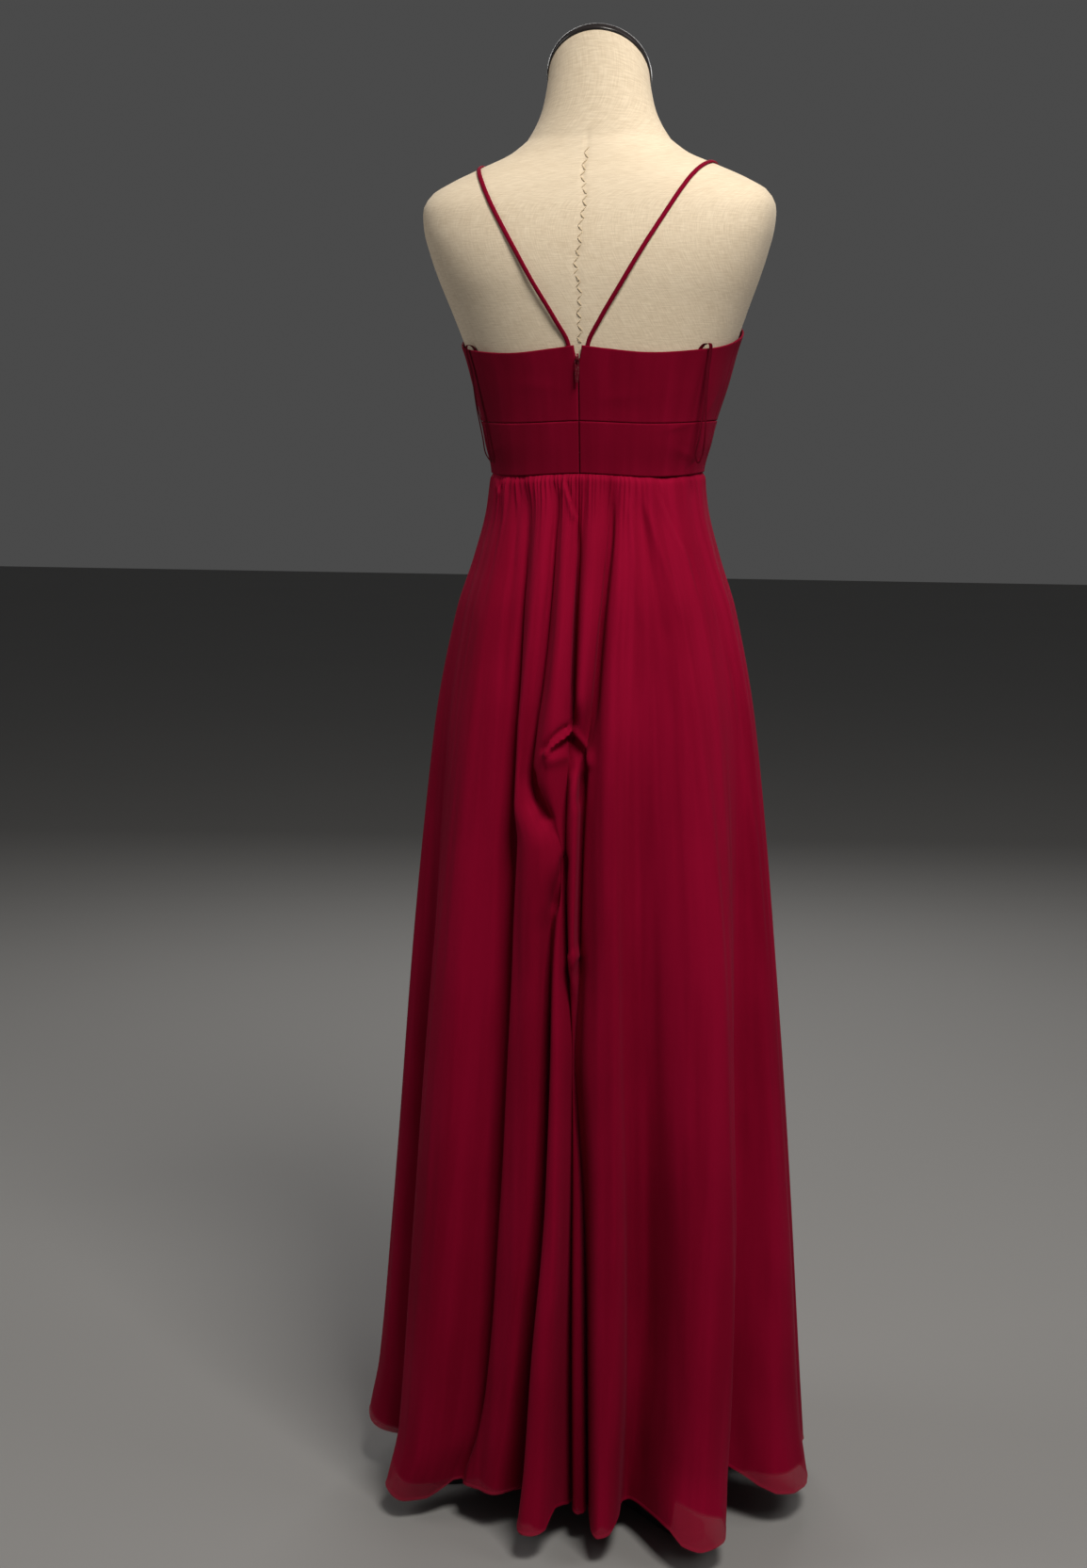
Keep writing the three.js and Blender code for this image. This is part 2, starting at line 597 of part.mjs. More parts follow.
// A hanging loop: a thin ribbon that comes up from inside the top edge, folds over it, hangs down outside as a
// long hairpin, and goes back in beside where it came out.
function hangingLoop({ angle, hang }) {
  const edge = topEdgeZ(angle);
  const inside = BODICE_EASE / 2;
  const outside = BODICE_EASE + BODICE_WALL + 1.2;
  const strand = (shift) => [
    { shift, z: edge - LOOP.tuck, off: inside },
    { shift, z: edge - 1, off: inside },
    { shift, z: edge + 2.2, off: inside + 1 },
    { shift, z: edge + 2.2, off: outside - 0.8 },
    { shift, z: edge - 3, off: outside + 0.6 },
    { shift: shift * 0.9, z: edge - 20, off: hang[0] },
    { shift: shift * 0.8, z: edge - LOOP.drop * 0.5, off: hang[1] },
    { shift: shift * 0.8, z: edge - LOOP.drop + 8, off: hang[2] },
  ];
  const turn = { shift: 0, z: edge - LOOP.drop, off: hang[3] };
  const guides = [...strand(-LOOP.spread), turn, ...strand(LOOP.spread).reverse()];
  const across = outsideForm(0)(angle + 1, edge)
    .sub(outsideForm(0)(angle - 1, edge))
    .normalize();
  const path = new THREE.CatmullRomCurve3(
    guides.map(({ shift, z, off }) => outsideForm(off)(angle, z).addScaledVector(across, shift)),
  );
  const stops = steps(0, 1, 44).map((t) => ({
    point: path.getPoint(t),
    facing: across.clone().cross(path.getTangent(t)).normalize(),
  }));
  return ribbon(stops, LOOP.width, LOOP.thickness);
}

function zipTape() {
  const shell = outsideForm((BODICE_EASE + ZIP_TAPE.thickness) / 2);
  const half = THREE.MathUtils.radToDeg(ZIP_TAPE.width / 2 / formRadius(0, WAIST_Z));
  return wall(shell, steps(-half, half, 4), steps(ZIP_TAPE.bottom, ZIP_TAPE.top, 8), ZIP_TAPE.thickness);
}

// The slider, seen from the side: a plate on the seam and a bridge with an eye, which the pull hangs from.
const SLIDER_Y = formRadius(0, SLIDER.z) + BODICE_EASE + BODICE_WALL + SLIDER.clear;
const EYE_Y = SLIDER_Y + SLIDER.plate;
const PIVOT = { y: EYE_Y + SLIDER.eyeDepth / 2, z: SLIDER.z - SLIDER.eyeHalfHeight + 1 };

function zipSlider() {
  const { z, halfHeight, bridgeHalfHeight, eyeHalfHeight, eyeDepth, bar, width } = SLIDER;
  const outline = new THREE.Shape([
    new THREE.Vector2(SLIDER_Y, z - halfHeight),
    new THREE.Vector2(EYE_Y, z - halfHeight),
    new THREE.Vector2(EYE_Y, z - bridgeHalfHeight),
    new THREE.Vector2(EYE_Y + eyeDepth, z - bridgeHalfHeight),
    new THREE.Vector2(EYE_Y + eyeDepth + bar, z - eyeHalfHeight),
    new THREE.Vector2(EYE_Y + eyeDepth + bar, z + eyeHalfHeight),
    new THREE.Vector2(EYE_Y + eyeDepth, z + bridgeHalfHeight),
    new THREE.Vector2(EYE_Y, z + bridgeHalfHeight),
    new THREE.Vector2(EYE_Y, z + halfHeight),
    new THREE.Vector2(SLIDER_Y, z + halfHeight),
  ]);
  outline.holes.push(
    new THREE.Path([
      new THREE.Vector2(EYE_Y, z - eyeHalfHeight),
      new THREE.Vector2(EYE_Y, z + eyeHalfHeight),
      new THREE.Vector2(EYE_Y + eyeDepth, z + eyeHalfHeight),
      new THREE.Vector2(EYE_Y + eyeDepth, z - eyeHalfHeight),
    ]),
  );
  return extrudeAcross(outline, width);
}

// An outline drawn in (y, z), extruded along X and centred on X = 0.
function extrudeAcross(outline, width) {
  const geometry = new THREE.ExtrudeGeometry(outline, { depth: width, bevelEnabled: false });
  geometry.translate(0, 0, -width / 2);
  return geometry.applyMatrix4(new THREE.Matrix4().set(0, 0, 1, 0, 1, 0, 0, 0, 0, 1, 0, 0, 0, 0, 0, 1));
}

// The pull: a flat drop with an eye that rides on the bridge. It hangs from PIVOT, drawn here in (x, z).
function zipPull() {
  const { length, width, thickness, hole, holeLength, bar } = PULL;
  const top = bar / 2;
  const tip = top - length;
  const shoulder = top - holeLength - 2 * bar;
  const outline = new THREE.Shape();
  outline.moveTo(-width / 2, top);
  outline.lineTo(-width / 2, shoulder);
  outline.absarc(0, tip + width * 0.34, width * 0.34, Math.PI, 2 * Math.PI);
  outline.lineTo(width / 2, shoulder);
  outline.lineTo(width / 2, top);
  outline.closePath();
  outline.holes.push(
    new THREE.Path([
      new THREE.Vector2(-hole / 2, top - bar),
      new THREE.Vector2(hole / 2, top - bar),
      new THREE.Vector2(hole / 2, top - bar - holeLength),
      new THREE.Vector2(-hole / 2, top - bar - holeLength),
    ]),
  );
  const depth = { depth: thickness, bevelEnabled: false, curveSegments: 6 };
  const geometry = new THREE.ExtrudeGeometry(outline, depth);
  return geometry.translate(0, 0, -thickness / 2).rotateX(Math.PI / 2);
}

// ---- the stand -------------------------------------------------------------------------------------------

// Flat legs with round ends, in one plate with a round hub.
function standBase() {
  const { legs, legLength, legWidth, hubRadius, thickness, turn } = BASE;
  const half = legWidth / 2;
  const reach = legLength - half;
  const besideLeg = Math.asin(half / hubRadius);
  const outline = new THREE.Shape();
  for (let leg = 0; leg < legs; leg++) {
    const heading = radians(turn + (360 / legs) * leg);
    const next = heading + (2 * Math.PI) / legs;
    const end = new THREE.Vector2(reach, 0).rotateAround(new THREE.Vector2(), heading);
    outline.absarc(end.x, end.y, half, heading - Math.PI / 2, heading + Math.PI / 2);
    outline.absarc(0, 0, hubRadius, heading + besideLeg, next - besideLeg);
  }
  return new THREE.ExtrudeGeometry(outline, { depth: thickness, bevelEnabled: false, curveSegments: 8 });
}

// The pole, with a boss on the base below it and a flange under the form above it.
function standPole() {
  const { radius, bossRadius, bossHeight, flangeRadius, flangeThickness } = POLE;
  const bottom = BASE.thickness + SEAM_GAP;
  const top = FORM_BOTTOM_Z - SEAM_GAP;
  const profile = [
    [0, bottom],
    [bossRadius, bottom],
    [bossRadius, bottom + bossHeight / 2],
    [radius + 3, bottom + bossHeight],
    [radius, bottom + bossHeight + 4],
    [radius, top - flangeThickness],
    [flangeRadius, top - flangeThickness],
    [flangeRadius, top],
    [0, top],
  ];
  const lathe = new THREE.LatheGeometry(
    profile.map(([r, z]) => new THREE.Vector2(r, z)),
    24,
  );
  return lathe.rotateX(Math.PI / 2);
}

// ---- the whole part --------------------------------------------------------------------------------------

const chiffon = { color: COLOURS.chiffon, roughness: 0.85, metalness: 0 };
const satin = { color: COLOURS.satin, roughness: 0.5, metalness: 0 };
const linen = { color: COLOURS.linen, roughness: 0.9, metalness: 0 };
const lacquer = { color: COLOURS.cap, roughness: 0.25, metalness: 0 };
const metal = { color: COLOURS.metal, roughness: 0.35, metalness: 0.8 };
const iron = { color: COLOURS.iron, roughness: 0.6, metalness: 0.2 };

const mesh = (name, geometry, look) => {
  const made = new THREE.Mesh(geometry, new THREE.MeshStandardMaterial(look));
  made.name = name;
  return made;
};

const lineAtCentreBack = 2 * FOLDS_BACK_LEFT;
const lineAtRightSide = lineAtCentreBack + 2 * FOLDS_BACK_RIGHT;
const lastLine = 2 * FOLDS.length;

const dress = new THREE.Group().add(
  mesh('skirt_back_left', skirtPanel(0, lineAtCentreBack), chiffon),
  mesh('skirt_back_right', skirtPanel(lineAtCentreBack, lineAtRightSide), chiffon),
  mesh('skirt_front', skirtPanel(lineAtRightSide, lastLine), chiffon),
  mesh('bodice_back_left', bodiceBackLeft(), chiffon),
  mesh('bodice_back_right', bodiceBackRight(), chiffon),
  mesh('bodice_front', bodiceFront(), chiffon),
  mesh('waistband_back_left', bandBackLeft(), chiffon),
  mesh('waistband_back_right', bandBackRight(), chiffon),
  mesh('waistband_front', bandFront(), chiffon),
  mesh('strap_left', strap(-1), chiffon),
  mesh('strap_right', strap(1), chiffon),
  mesh('hanging_loop_left', hangingLoop(LOOPS[0]), satin),
  mesh('hanging_loop_right', hangingLoop(LOOPS[1]), satin),
  mesh('zip_tape', zipTape(), satin),
  mesh('zip_slider', zipSlider(), metal),
);

const pull = mesh('zip_pull', zipPull(), metal);
pull.position.set(0, PIVOT.y, PIVOT.z);
dress.add(pull);

const form = new THREE.Group().add(
  mesh('form_torso', torso(), linen),
  mesh('form_neck_cap', neckCap(), lacquer),
);
const stand = new THREE.Group().add(
  mesh('stand_pole', standPole(), iron),
  mesh('stand_base', standBase(), iron),
);

export default new THREE.Group().add(dress, form, stand);
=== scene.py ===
"""A chiffon prom dress on a dress form: the look of it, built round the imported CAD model.

The tables and the mesh code work in millimetres, and MM turns them into the frame's metres. Angles are in
degrees from the centre back towards the wearer's right, as in the CAD source: 0 is the centre back, 90 the
right side and 180 the centre front.
"""

import json
import math

import bpy
import numpy as np
from mathutils import Matrix, Vector

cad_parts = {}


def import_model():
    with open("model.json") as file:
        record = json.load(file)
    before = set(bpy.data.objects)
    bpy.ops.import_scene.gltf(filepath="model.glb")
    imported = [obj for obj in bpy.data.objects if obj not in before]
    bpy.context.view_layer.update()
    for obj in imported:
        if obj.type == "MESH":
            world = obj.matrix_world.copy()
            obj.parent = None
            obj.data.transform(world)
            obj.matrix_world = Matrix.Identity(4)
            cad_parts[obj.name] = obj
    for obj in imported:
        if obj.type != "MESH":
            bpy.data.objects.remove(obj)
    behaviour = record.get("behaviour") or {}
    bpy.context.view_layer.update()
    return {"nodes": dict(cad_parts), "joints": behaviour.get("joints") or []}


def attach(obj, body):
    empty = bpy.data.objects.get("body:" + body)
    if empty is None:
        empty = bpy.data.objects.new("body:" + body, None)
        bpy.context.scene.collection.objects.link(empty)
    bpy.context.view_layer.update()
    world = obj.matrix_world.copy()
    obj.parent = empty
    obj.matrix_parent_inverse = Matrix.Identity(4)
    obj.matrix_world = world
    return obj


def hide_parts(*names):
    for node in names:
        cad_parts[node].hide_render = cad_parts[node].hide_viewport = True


MM = 0.001

# ---- driving sizes, as in the CAD source -----------------------------------------------------------------

SEAM_GAP = 0.3
SKIRT_SEAM_GAP = 0.06  # between two skirt panels, so small that no light shows through
HEM_Z = 30
WAIST_Z = 1149
BAND_TOP_Z = 1203
WAIST_DIP = {"depth": 4, "angle": 50, "spread": 22}
BAND_DIP = {"depth": 3, "angle": 45, "spread": 24}
BODICE_EASE = 2.4
BODICE_WALL = 1.8
BAND_PROUD = 0.5
ZIP_HALF_GAP = 0.5
NOTCH = {"bottom": 1256, "top": 1281, "half_width": 4.2}
ZIP_TAPE = {"width": 14, "thickness": 0.9, "bottom": 1105, "top": 1266}
SLIDER_Z = 1266
STRAP = {"width": 4.6, "depth": 2.4}
LOOP = {"width": 2.6, "drop": 116, "apart": 1.1, "spread": 7, "tuck": 8, "lean": 10,
        "outward": 5}
CAP = {"thickness": 9, "overhang": 1.8, "dome": 3}

CLOTH = 0.6  # the chiffon and its lining together, which is thinner than the solid that stands in for them
HEM_ROLL = {"height": 3.2, "extra": 0.5}

FORM_SECTIONS = [  # z, side, back, front, power
    (800, 138, 100, 80, 2.2),
    (830, 149, 110, 87, 2.2),
    (880, 155, 117, 95, 2.2),
    (930, 153, 116, 99, 2.2),
    (980, 144, 108, 98, 2.2),
    (1030, 130, 97, 93, 2.2),
    (1080, 116.5, 89, 87, 2.2),
    (1100, 112, 87, 84.5, 2.2),
    (1120, 109, 86, 83, 2.2),
    (1150, 109.5, 87, 84, 2.2),
    (1180, 116, 89, 88, 2.2),
    (1210, 121.5, 91, 93, 2.2),
    (1240, 129, 94, 98, 2.2),
    (1270, 137, 97, 101, 2.25),
    (1290, 144.5, 99, 101, 2.3),
    (1318, 156, 101, 98, 2.4),
    (1347, 168, 102, 92, 2.6),
    (1376, 178, 100, 84, 2.8),
    (1402, 185, 95, 75, 2.9),
    (1420, 186.5, 90, 69, 2.9),
    (1436, 180, 84, 63, 2.7),
    (1450, 158, 78, 58, 2.5),
    (1464, 127, 71, 54, 2.3),
    (1478, 95, 65, 51.5, 2.1),
    (1492, 76, 60, 50, 2),
]
NECK_SECTIONS = [  # z, side, back, front, slope
    (1505, 67, 56.5, 49, 0.15),
    (1518, 60.5, 54, 48.5, 0.35),
    (1532, 56.5, 52, 48, 0.55),
    (1545, 54, 50.5, 48, 0.74),
    (1553, 53, 50, 48, 0.85),
]
BUST = {"z": 1256, "angle": 40, "reach": 17, "between": 0.35, "spread_angle": 27, "below": 46, "above": 53}
TOP_EDGE = [  # angle from the centre back, z
    (0, 1279),
    (14, 1276),
    (40, 1272),
    (70, 1277),
    (90, 1286),
    (115, 1306),
    (140, 1344),
    (147, 1346),
    (160, 1318),
    (172, 1291),
    (180, 1284),
]
SKIRT_POWER = 2.1
SKIRT_SECTIONS = [  # z, side, back, front
    (30, 215, 175, 185),
    (300, 204, 165, 172),
    (600, 190, 154, 155),
    (870, 171, 140, 131),
    (1000, 149, 124, 118),
    (1060, 131, 111, 107),
    (1110, 119, 99, 97.5),
    (1149, 114.4, 93.2, 92),
]

FORM_ROUND = 160
CENTRE_SEAM = {"depth": 1.3, "width": 1.5}
NECK_SEAM_Z = 1488
NECK_TURN = -7  # the sloping top of the neck faces a little to one side of the front, in degrees
EDGE_ROLL = 1.25  # the radius of a turned or sewn edge
BODICE_WAVES = [  # turns round the figure, drift in turns per metre, height: the cloth's slight unevenness
    (11, 4.0, 0.22),
    (17, -7.0, 0.16),
    (29, 9.0, 0.08),
]
BODICE_CREASES = [  # angle, z, length along, width across, tilt in degrees, height
    (58, 1196, 26, 5, 12, 0.5),
    (66, 1168, 30, 6, -18, 0.7),
    (74, 1160, 22, 4, 35, -0.6),
    (80, 1222, 24, 6, 60, 0.5),
    (-62, 1172, 26, 5, 15, 0.5),
    (-72, 1226, 24, 6, -55, 0.5),
    (24, 1226, 40, 9, 4, 0.35),
    (-26, 1238, 44, 9, -6, 0.35),
    (120, 1180, 30, 6, 20, 0.6),
    (240, 1180, 30, 6, -20, 0.6),
    (168, 1240, 30, 7, 75, 0.5),
    (192, 1240, 30, 7, -75, 0.5),
]

# ---- the skirt's folds -----------------------------------------------------------------------------------

# Each line runs from the hem up to the waist through stops of height, angle and reach, which is how far the
# line stands out past the outline. Lines go round from the left side seam over the back and are a valley and
# a ridge in turn. crease is 0 for a soft line and 1 for one that is folded sharply. breadth is less than 1
# for a ridge that is slimmer than the rest.
BACK_LINES = [  # crease, breadth, stops
    (0.4, 1, [(30, -98, -32), (300, -96, -25), (600, -94, -16), (870, -92, -5), (1149, -90, 0)]),
    (0, 1, [(30, -85, 48), (100, -85, 38), (300, -85, 30), (600, -85, 19), (870, -85, 9), (1149, -80, 0)]),
    (0.3, 1, [(30, -68, -30), (300, -70, -22), (600, -70, -12), (870, -71, -5), (1149, -70, 0)]),
    (0, 0.8, [(30, -52, 52), (100, -49.5, 42), (300, -50, 32), (600, -49, 20), (870, -48, 8),
        (1149, -53, 0)]),
    (1, 1, [(30, -43, -14), (97, -36.5, -19), (206, -32.5, -22), (400, -29.5, -26), (620, -26.6, -24),
        (770, -25.6, -20), (895, -25, -15), (1041, -28.5, -10), (1115, -33, -5), (1149, -37, 0)]),
    (0, 1, [(30, -31, 2), (206, -22.5, 3), (400, -18.5, 6), (620, -16.5, 9), (700, -15, 13),
        (765, -14, 14), (810, -20, 9), (870, -21, 5), (1000, -19.5, 5), (1115, -23, 3), (1149, -26, 0)]),
    (1, 1, [(30, -18, -38), (82, -16.5, -36), (217, -13.6, -30), (400, -9.2, -23), (531, -8.4, -19),
        (673, -8, -13), (707, -5.6, -9), (745, -2.8, -2), (770, -4.8, -1), (797, -11, -4),
        (815, -15.5, -8), (840, -18.5, -11), (875, -17, -12), (930, -13.8, -11), (1029, -12, -9),
        (1115, -13, -5), (1149, -15, 0)]),
    (0, 0.6, [(30, -6.4, 48), (100, -6.4, 34), (174, -6, 27), (384, -3, 17), (537, -3.2, 10),
        (640, -3.8, 5), (700, -3.2, -3), (750, -2.2, -7), (790, -5.5, -3), (835, -8.6, 8),
        (875, -7.8, 12), (1009, -4.6, 9), (1115, -7, 4), (1149, -8, 0)]),
    (1, 1, [(30, 2.6, -34), (278, 1.8, -26), (535, 2, -18), (626, 0.4, -16), (765, -1.7, -13),
        (863, -1.5, -15), (890, 0.8, -13), (1043, 0.2, -10), (1115, 0, -5), (1149, 0, 0)]),
    (0, 1, [(30, 7, -6), (259, 5.6, -6), (400, 4.6, -9), (534, 2.3, -16), (600, 2.4, -9), (640, 2.6, 3),
        (700, 2.4, 4), (800, 2.3, 4), (822, 2, 2), (836, 2, -3), (847, 2.6, -11), (858, 3.2, -13),
        (872, 4, -12), (893, 4.6, -5), (922, 4.8, 5), (1009, 6.9, 7), (1115, 9, 3), (1149, 9, 0)]),
    (1, 1, [(30, 9.6, -32), (120, 9.2, -30), (277, 8.2, -26), (381, 6.8, -23), (470, 4.4, -21),
        (534, 2.7, -19), (620, 4.6, -18), (690, 5.2, -17), (814, 6, -16), (850, 6.6, -16),
        (899, 9.2, -14), (1043, 16, -10), (1115, 20, -5), (1149, 22, 0)]),
    (0.15, 0.75, [(30, 13.2, 40), (100, 13.6, 31), (366, 15, 19), (540, 15.6, 13), (670, 16, 10),
        (817, 16.4, 8), (916, 17.8, 6), (1019, 21, 4), (1149, 27, 0)]),
    (0, 1, [(30, 26, -38), (200, 28, -23), (413, 27.6, -14), (616, 27, -9), (765, 27, -5), (883, 28, -3),
        (1149, 34, 0)]),
    (0.1, 0.8, [(30, 37.5, 76), (100, 42, 52), (255, 47, 39), (400, 50, 30), (664, 53, 17), (863, 52, 7),
        (1149, 48, 0)]),
    (0.3, 1, [(30, 60, -42), (95, 62.5, -37), (235, 66.5, -30), (362, 69.5, -24), (549, 71.8, -17),
        (703, 73.5, -12), (870, 75, -6), (1149, 69, 0)]),
    (0.15, 1, [(30, 79, 40), (100, 81, 30), (300, 82, 24), (600, 84, 12), (870, 84, 5), (1149, 80, 0)]),
]
# The front's lines, at the hem, knee, hip and waist: the angles of a ridge and of the valley after it, and
# their reaches at the hem, knee and hip. The first valley is the right side seam's own line, and the last is
# the left side seam's, the first of the back's lines.
FRONT_LEVELS = (30, 600, 870, 1149)
RIGHT_SEAM = (0.4, 1, [(30, 99, -34), (300, 97, -25), (600, 95, -16), (870, 93, -6), (1149, 90, 0)])
FRONT_FOLDS = [  # ridge angles, ridge reaches, valley angles, valley reaches
    ((110, 107, 105, 103), (34, 15, 6), (121, 119, 117, 115), (-36, -16, -5)),
    ((133, 131, 130, 128), (44, 18, 7), (146, 144, 142, 140), (-30, -16, -5)),
    ((158, 156, 155, 154), (28, 14, 6), (170, 168, 167, 167), (-38, -16, -5)),
    ((182, 181, 180, 180), (46, 18, 7), (195, 194, 193, 193), (-30, -15, -5)),
    ((207, 206, 205, 206), (30, 14, 6), (218, 217, 217, 219), (-36, -16, -5)),
    ((230, 229, 229, 231), (44, 18, 7), (241, 241, 241, 244), (-30, -15, -5)),
    ((252, 253, 255, 257), (34, 14, 6), None, None),
]
FRONT_CREASES = (0.8, 0.3, 1, 0.5, 0.9, 0.4, None)
LINE_AT_CENTRE_BACK = 8
LINE_AT_RIGHT_SIDE = 16
LAST_LINE = 30

RIDGE_ROUNDNESS = {"waist": 1.0, "hem": 2.75}  # how broad a lobe is: 1 is a plain wave
VALLEY_ROUNDNESS = {"waist": 1.0, "hem": 1.5}
# How far below the waist the folds have their full breadth and their full sharpness, how sharp a creased line
# is, and a ridge's share of that.
FOLDS = {"full_below": 900, "sharp_below": 60, "sharpness": 1.6, "ridge_share": 0.6}

# Rows of the skirt's grid: from each height up to the next, the step between rows.
SKIRT_ROWS = [(30, 0.8), (34, 4), (60, 8), (640, 3.6), (900, 5), (1100, 2.4), (1149, 0)]
BACK_COLUMNS = 25  # to a fold line
FRONT_COLUMNS = 15

# How densely the waist is gathered, by angle, and what one gather is like.
GATHER_ZONES = [  # angle, share of the full height
    (-90, 0.25),
    (-66, 0.45),
    (-56, 1),
    (26, 1),
    (38, 0.5),
    (66, 0.35),
    (90, 0.3),
    (112, 0.9),
    (240, 1),
    (270, 0.25),
]
GATHER = {"spacing": 2.7, "height": (0.8, 3.1), "width": 0.75, "length": (14, 72)}
SEAM_PINCH = {"depth": 2.0, "length": 3.5}  # the cloth drawn in at the waist seam
SEED = 11

# Long soft ripples in the hanging cloth: how many round the figure, and how fast each drifts on its way down.
RIPPLES = [  # count round, drift in turns per metre, height
    (37, 0.9, 0.5),
    (61, -1.3, 0.35),
    (23, 0.6, 0.7),
    (89, 1.7, 0.18),
]

# Single creases, each along a path of angles and heights. height lifts the cloth on the path, or sinks it if
# negative. On a path that runs down, step lifts the side of the larger angles and sinks the other.
CREASES = [  # name, width, height, step, path of angles and heights
    # the catch at the seat: the cloth above laps over it, and the cloth below is drawn up into it
    ("catch lip", 4.2, 1, 6, [(2, 890), (-1, 886), (-4, 879), (-7, 871), (-10.5, 861)]),
    ("catch shadow", 4, -4.5, 0, [(1.2, 881), (-1.4, 877), (-4.2, 871), (-8, 862)]),
    ("hook", 6, 2.2, 0, [(-9.5, 855), (-5, 857), (-1, 860)]),
    ("crescent", 6, -5, 2, [(-15.4, 850), (-14.4, 829), (-10.6, 807), (-6.4, 786)]),
    ("hollow", 4.5, -2.5, 1, [(0.5, 877), (3, 865), (5.4, 850), (6, 830), (5.8, 800)]),
    ("right lip", 4.5, 1, 4.5, [(-1.6, 890), (1, 884), (4.4, 873), (7.8, 860), (8.8, 844)]),
    ("bulge end", 5, -3, -2, [(-1.5, 762), (-4, 727), (-7, 690)]),
    ("narrow fold end", 8, 1.6, 0, [(1.8, 655), (5, 645)]),
    ("narrow fold foot", 7, -2, 0, [(1.5, 632), (5.4, 627)]),
    # the laps beside the centre back, where one fold lies over the next
    ("first lap", 4, -1.2, 3, [(-36, 1138), (-28.5, 1041), (-26, 976), (-24.9, 895), (-25.3, 812),
        (-26.3, 690)]),
    ("second lap", 4, -1.2, 3, [(-14, 1129), (-12, 1040), (-12.6, 978), (-14, 910), (-17, 872)]),
    ("seam lap", 3.5, -0.8, -3, [(-0.4, 1101), (0.6, 1080), (0.1, 1000), (0, 930), (1, 896)]),
    ("third lap", 4, -1.4, -3, [(21.5, 1135), (19.1, 1091), (16, 1043), (13.4, 995), (9.8, 899),
        (9, 872)]),
    ("right face edge", 4, 0, 3.6, [(6, 890), (8.6, 868), (8.2, 845), (7.3, 800), (6.5, 740), (6, 680),
        (5.4, 630)]),
    # creases that fan out from the waist
    ("fan outer", 5, 0, -2, [(47, 1140), (56, 1088), (61, 1067), (62, 1016)]),
    ("fan middle", 6, -2, 0, [(37, 1138), (40.5, 1034), (42, 960)]),
    ("fan between", 5, 1.8, 0, [(38.8, 1132), (46.1, 1056), (50, 990)]),
    ("fan inner", 5, 1.6, 0, [(30, 1136), (31, 1060), (32, 985)]),
    ("left of first lap", 4, -2, 0, [(-45, 1138), (-40.9, 1112), (-35.8, 1047), (-33.3, 989),
        (-31.8, 898)]),
    ("left outer", 7, -1.4, 0, [(-52, 1130), (-49, 1060), (-47, 990)]),
    ("beside the seam", 3.5, 0, -2.6, [(-9, 1143), (-4.5, 1122), (-0.8, 1100)]),
    ("pucker one", 3, 1.6, 0, [(-63, 1141), (-56, 1128)]),
    ("pucker two", 3, -1.6, 0, [(-60, 1145), (-53, 1134)]),
    # the crisp fall beside the broad face of two ridges
    ("lobe edge", 4, 1.3, 0, [(19, 1000), (18.4, 816), (18.2, 540), (17.8, 366), (17.2, 159),
        (16.6, 40)]),
    ("side ridge edge", 5, 2.2, 0, [(51, 940), (54, 830), (55, 664), (54.4, 533), (53.5, 380),
        (52.6, 255), (51, 116)]),
    ("right side fold", 5, 0, -1.6, [(74, 990), (78, 880), (81, 760), (82, 600)]),
    ("left side fold", 6, 0, 1.2, [(-66, 850), (-64.4, 745), (-65, 560)]),
    # the hidden front
    ("front fan left", 6, 1.6, 0, [(222, 1135), (228, 1080), (231, 1010)]),
    ("front fan right", 6, -1.6, 0, [(140, 1135), (134, 1075), (131, 1000)]),
    ("front drag", 7, 1.8, 0, [(176, 1120), (172, 980), (171, 820)]),
    ("front first lap", 4, -0.8, -2, [(167, 1138), (167, 1000), (167.5, 860), (168, 640)]),
    ("front second lap", 4, -0.8, 2, [(217, 1138), (217, 1000), (217, 860), (217, 620)]),
    ("front lobe edge", 5, 1.3, 0, [(199, 900), (200, 600), (201, 300), (201, 60)]),
    ("front side edge", 5, 1.3, 0, [(148, 860), (150, 600), (152, 300), (153, 80)]),
    ("front tuck", 7, -2, -1.5, [(190, 905), (194, 880), (196, 850)]),
]
DEGREE = 2.5  # mm round the skirt, for a crease's width
CREASE_FADE = 0.2  # the share of a crease's length over which it fades in, and out again
STEP_SLOPE = 1.6

# How far the hem rises from its level, by angle.
HEM_RISES = [
    (-98, 28), (-85, 32), (-72, 22), (-68, 14), (-60, 4), (-53, 0), (-50, -3), (-48, -6), (-46, -6),
    (-45, 3), (-44, 12), (-31, 17), (-22, 16), (-14, 5), (-6, 3), (-2.4, 4), (-1.5, 13), (-0.8, 18),
    (0.2, 14), (1.6, 7), (3, 9), (6, 5), (9.5, 9), (13, 3), (17, 4), (20, 10), (26, 9), (29.6, 13),
    (31, 16), (32.2, 15), (33.6, 5), (37, 1), (44, 2), (52, 8), (56, 30), (60, 47), (64.4, 37),
    (65.8, 29), (67.1, 19), (69.4, 11), (73.8, 7), (79, 5), (99, 8), (110, 0), (121, 10), (133, -3),
    (146, 8), (158, 2), (170, 10), (182, -3), (195, 9), (207, 2), (218, 10), (230, -3), (241, 10),
    (252, 14), (262, 28),
]

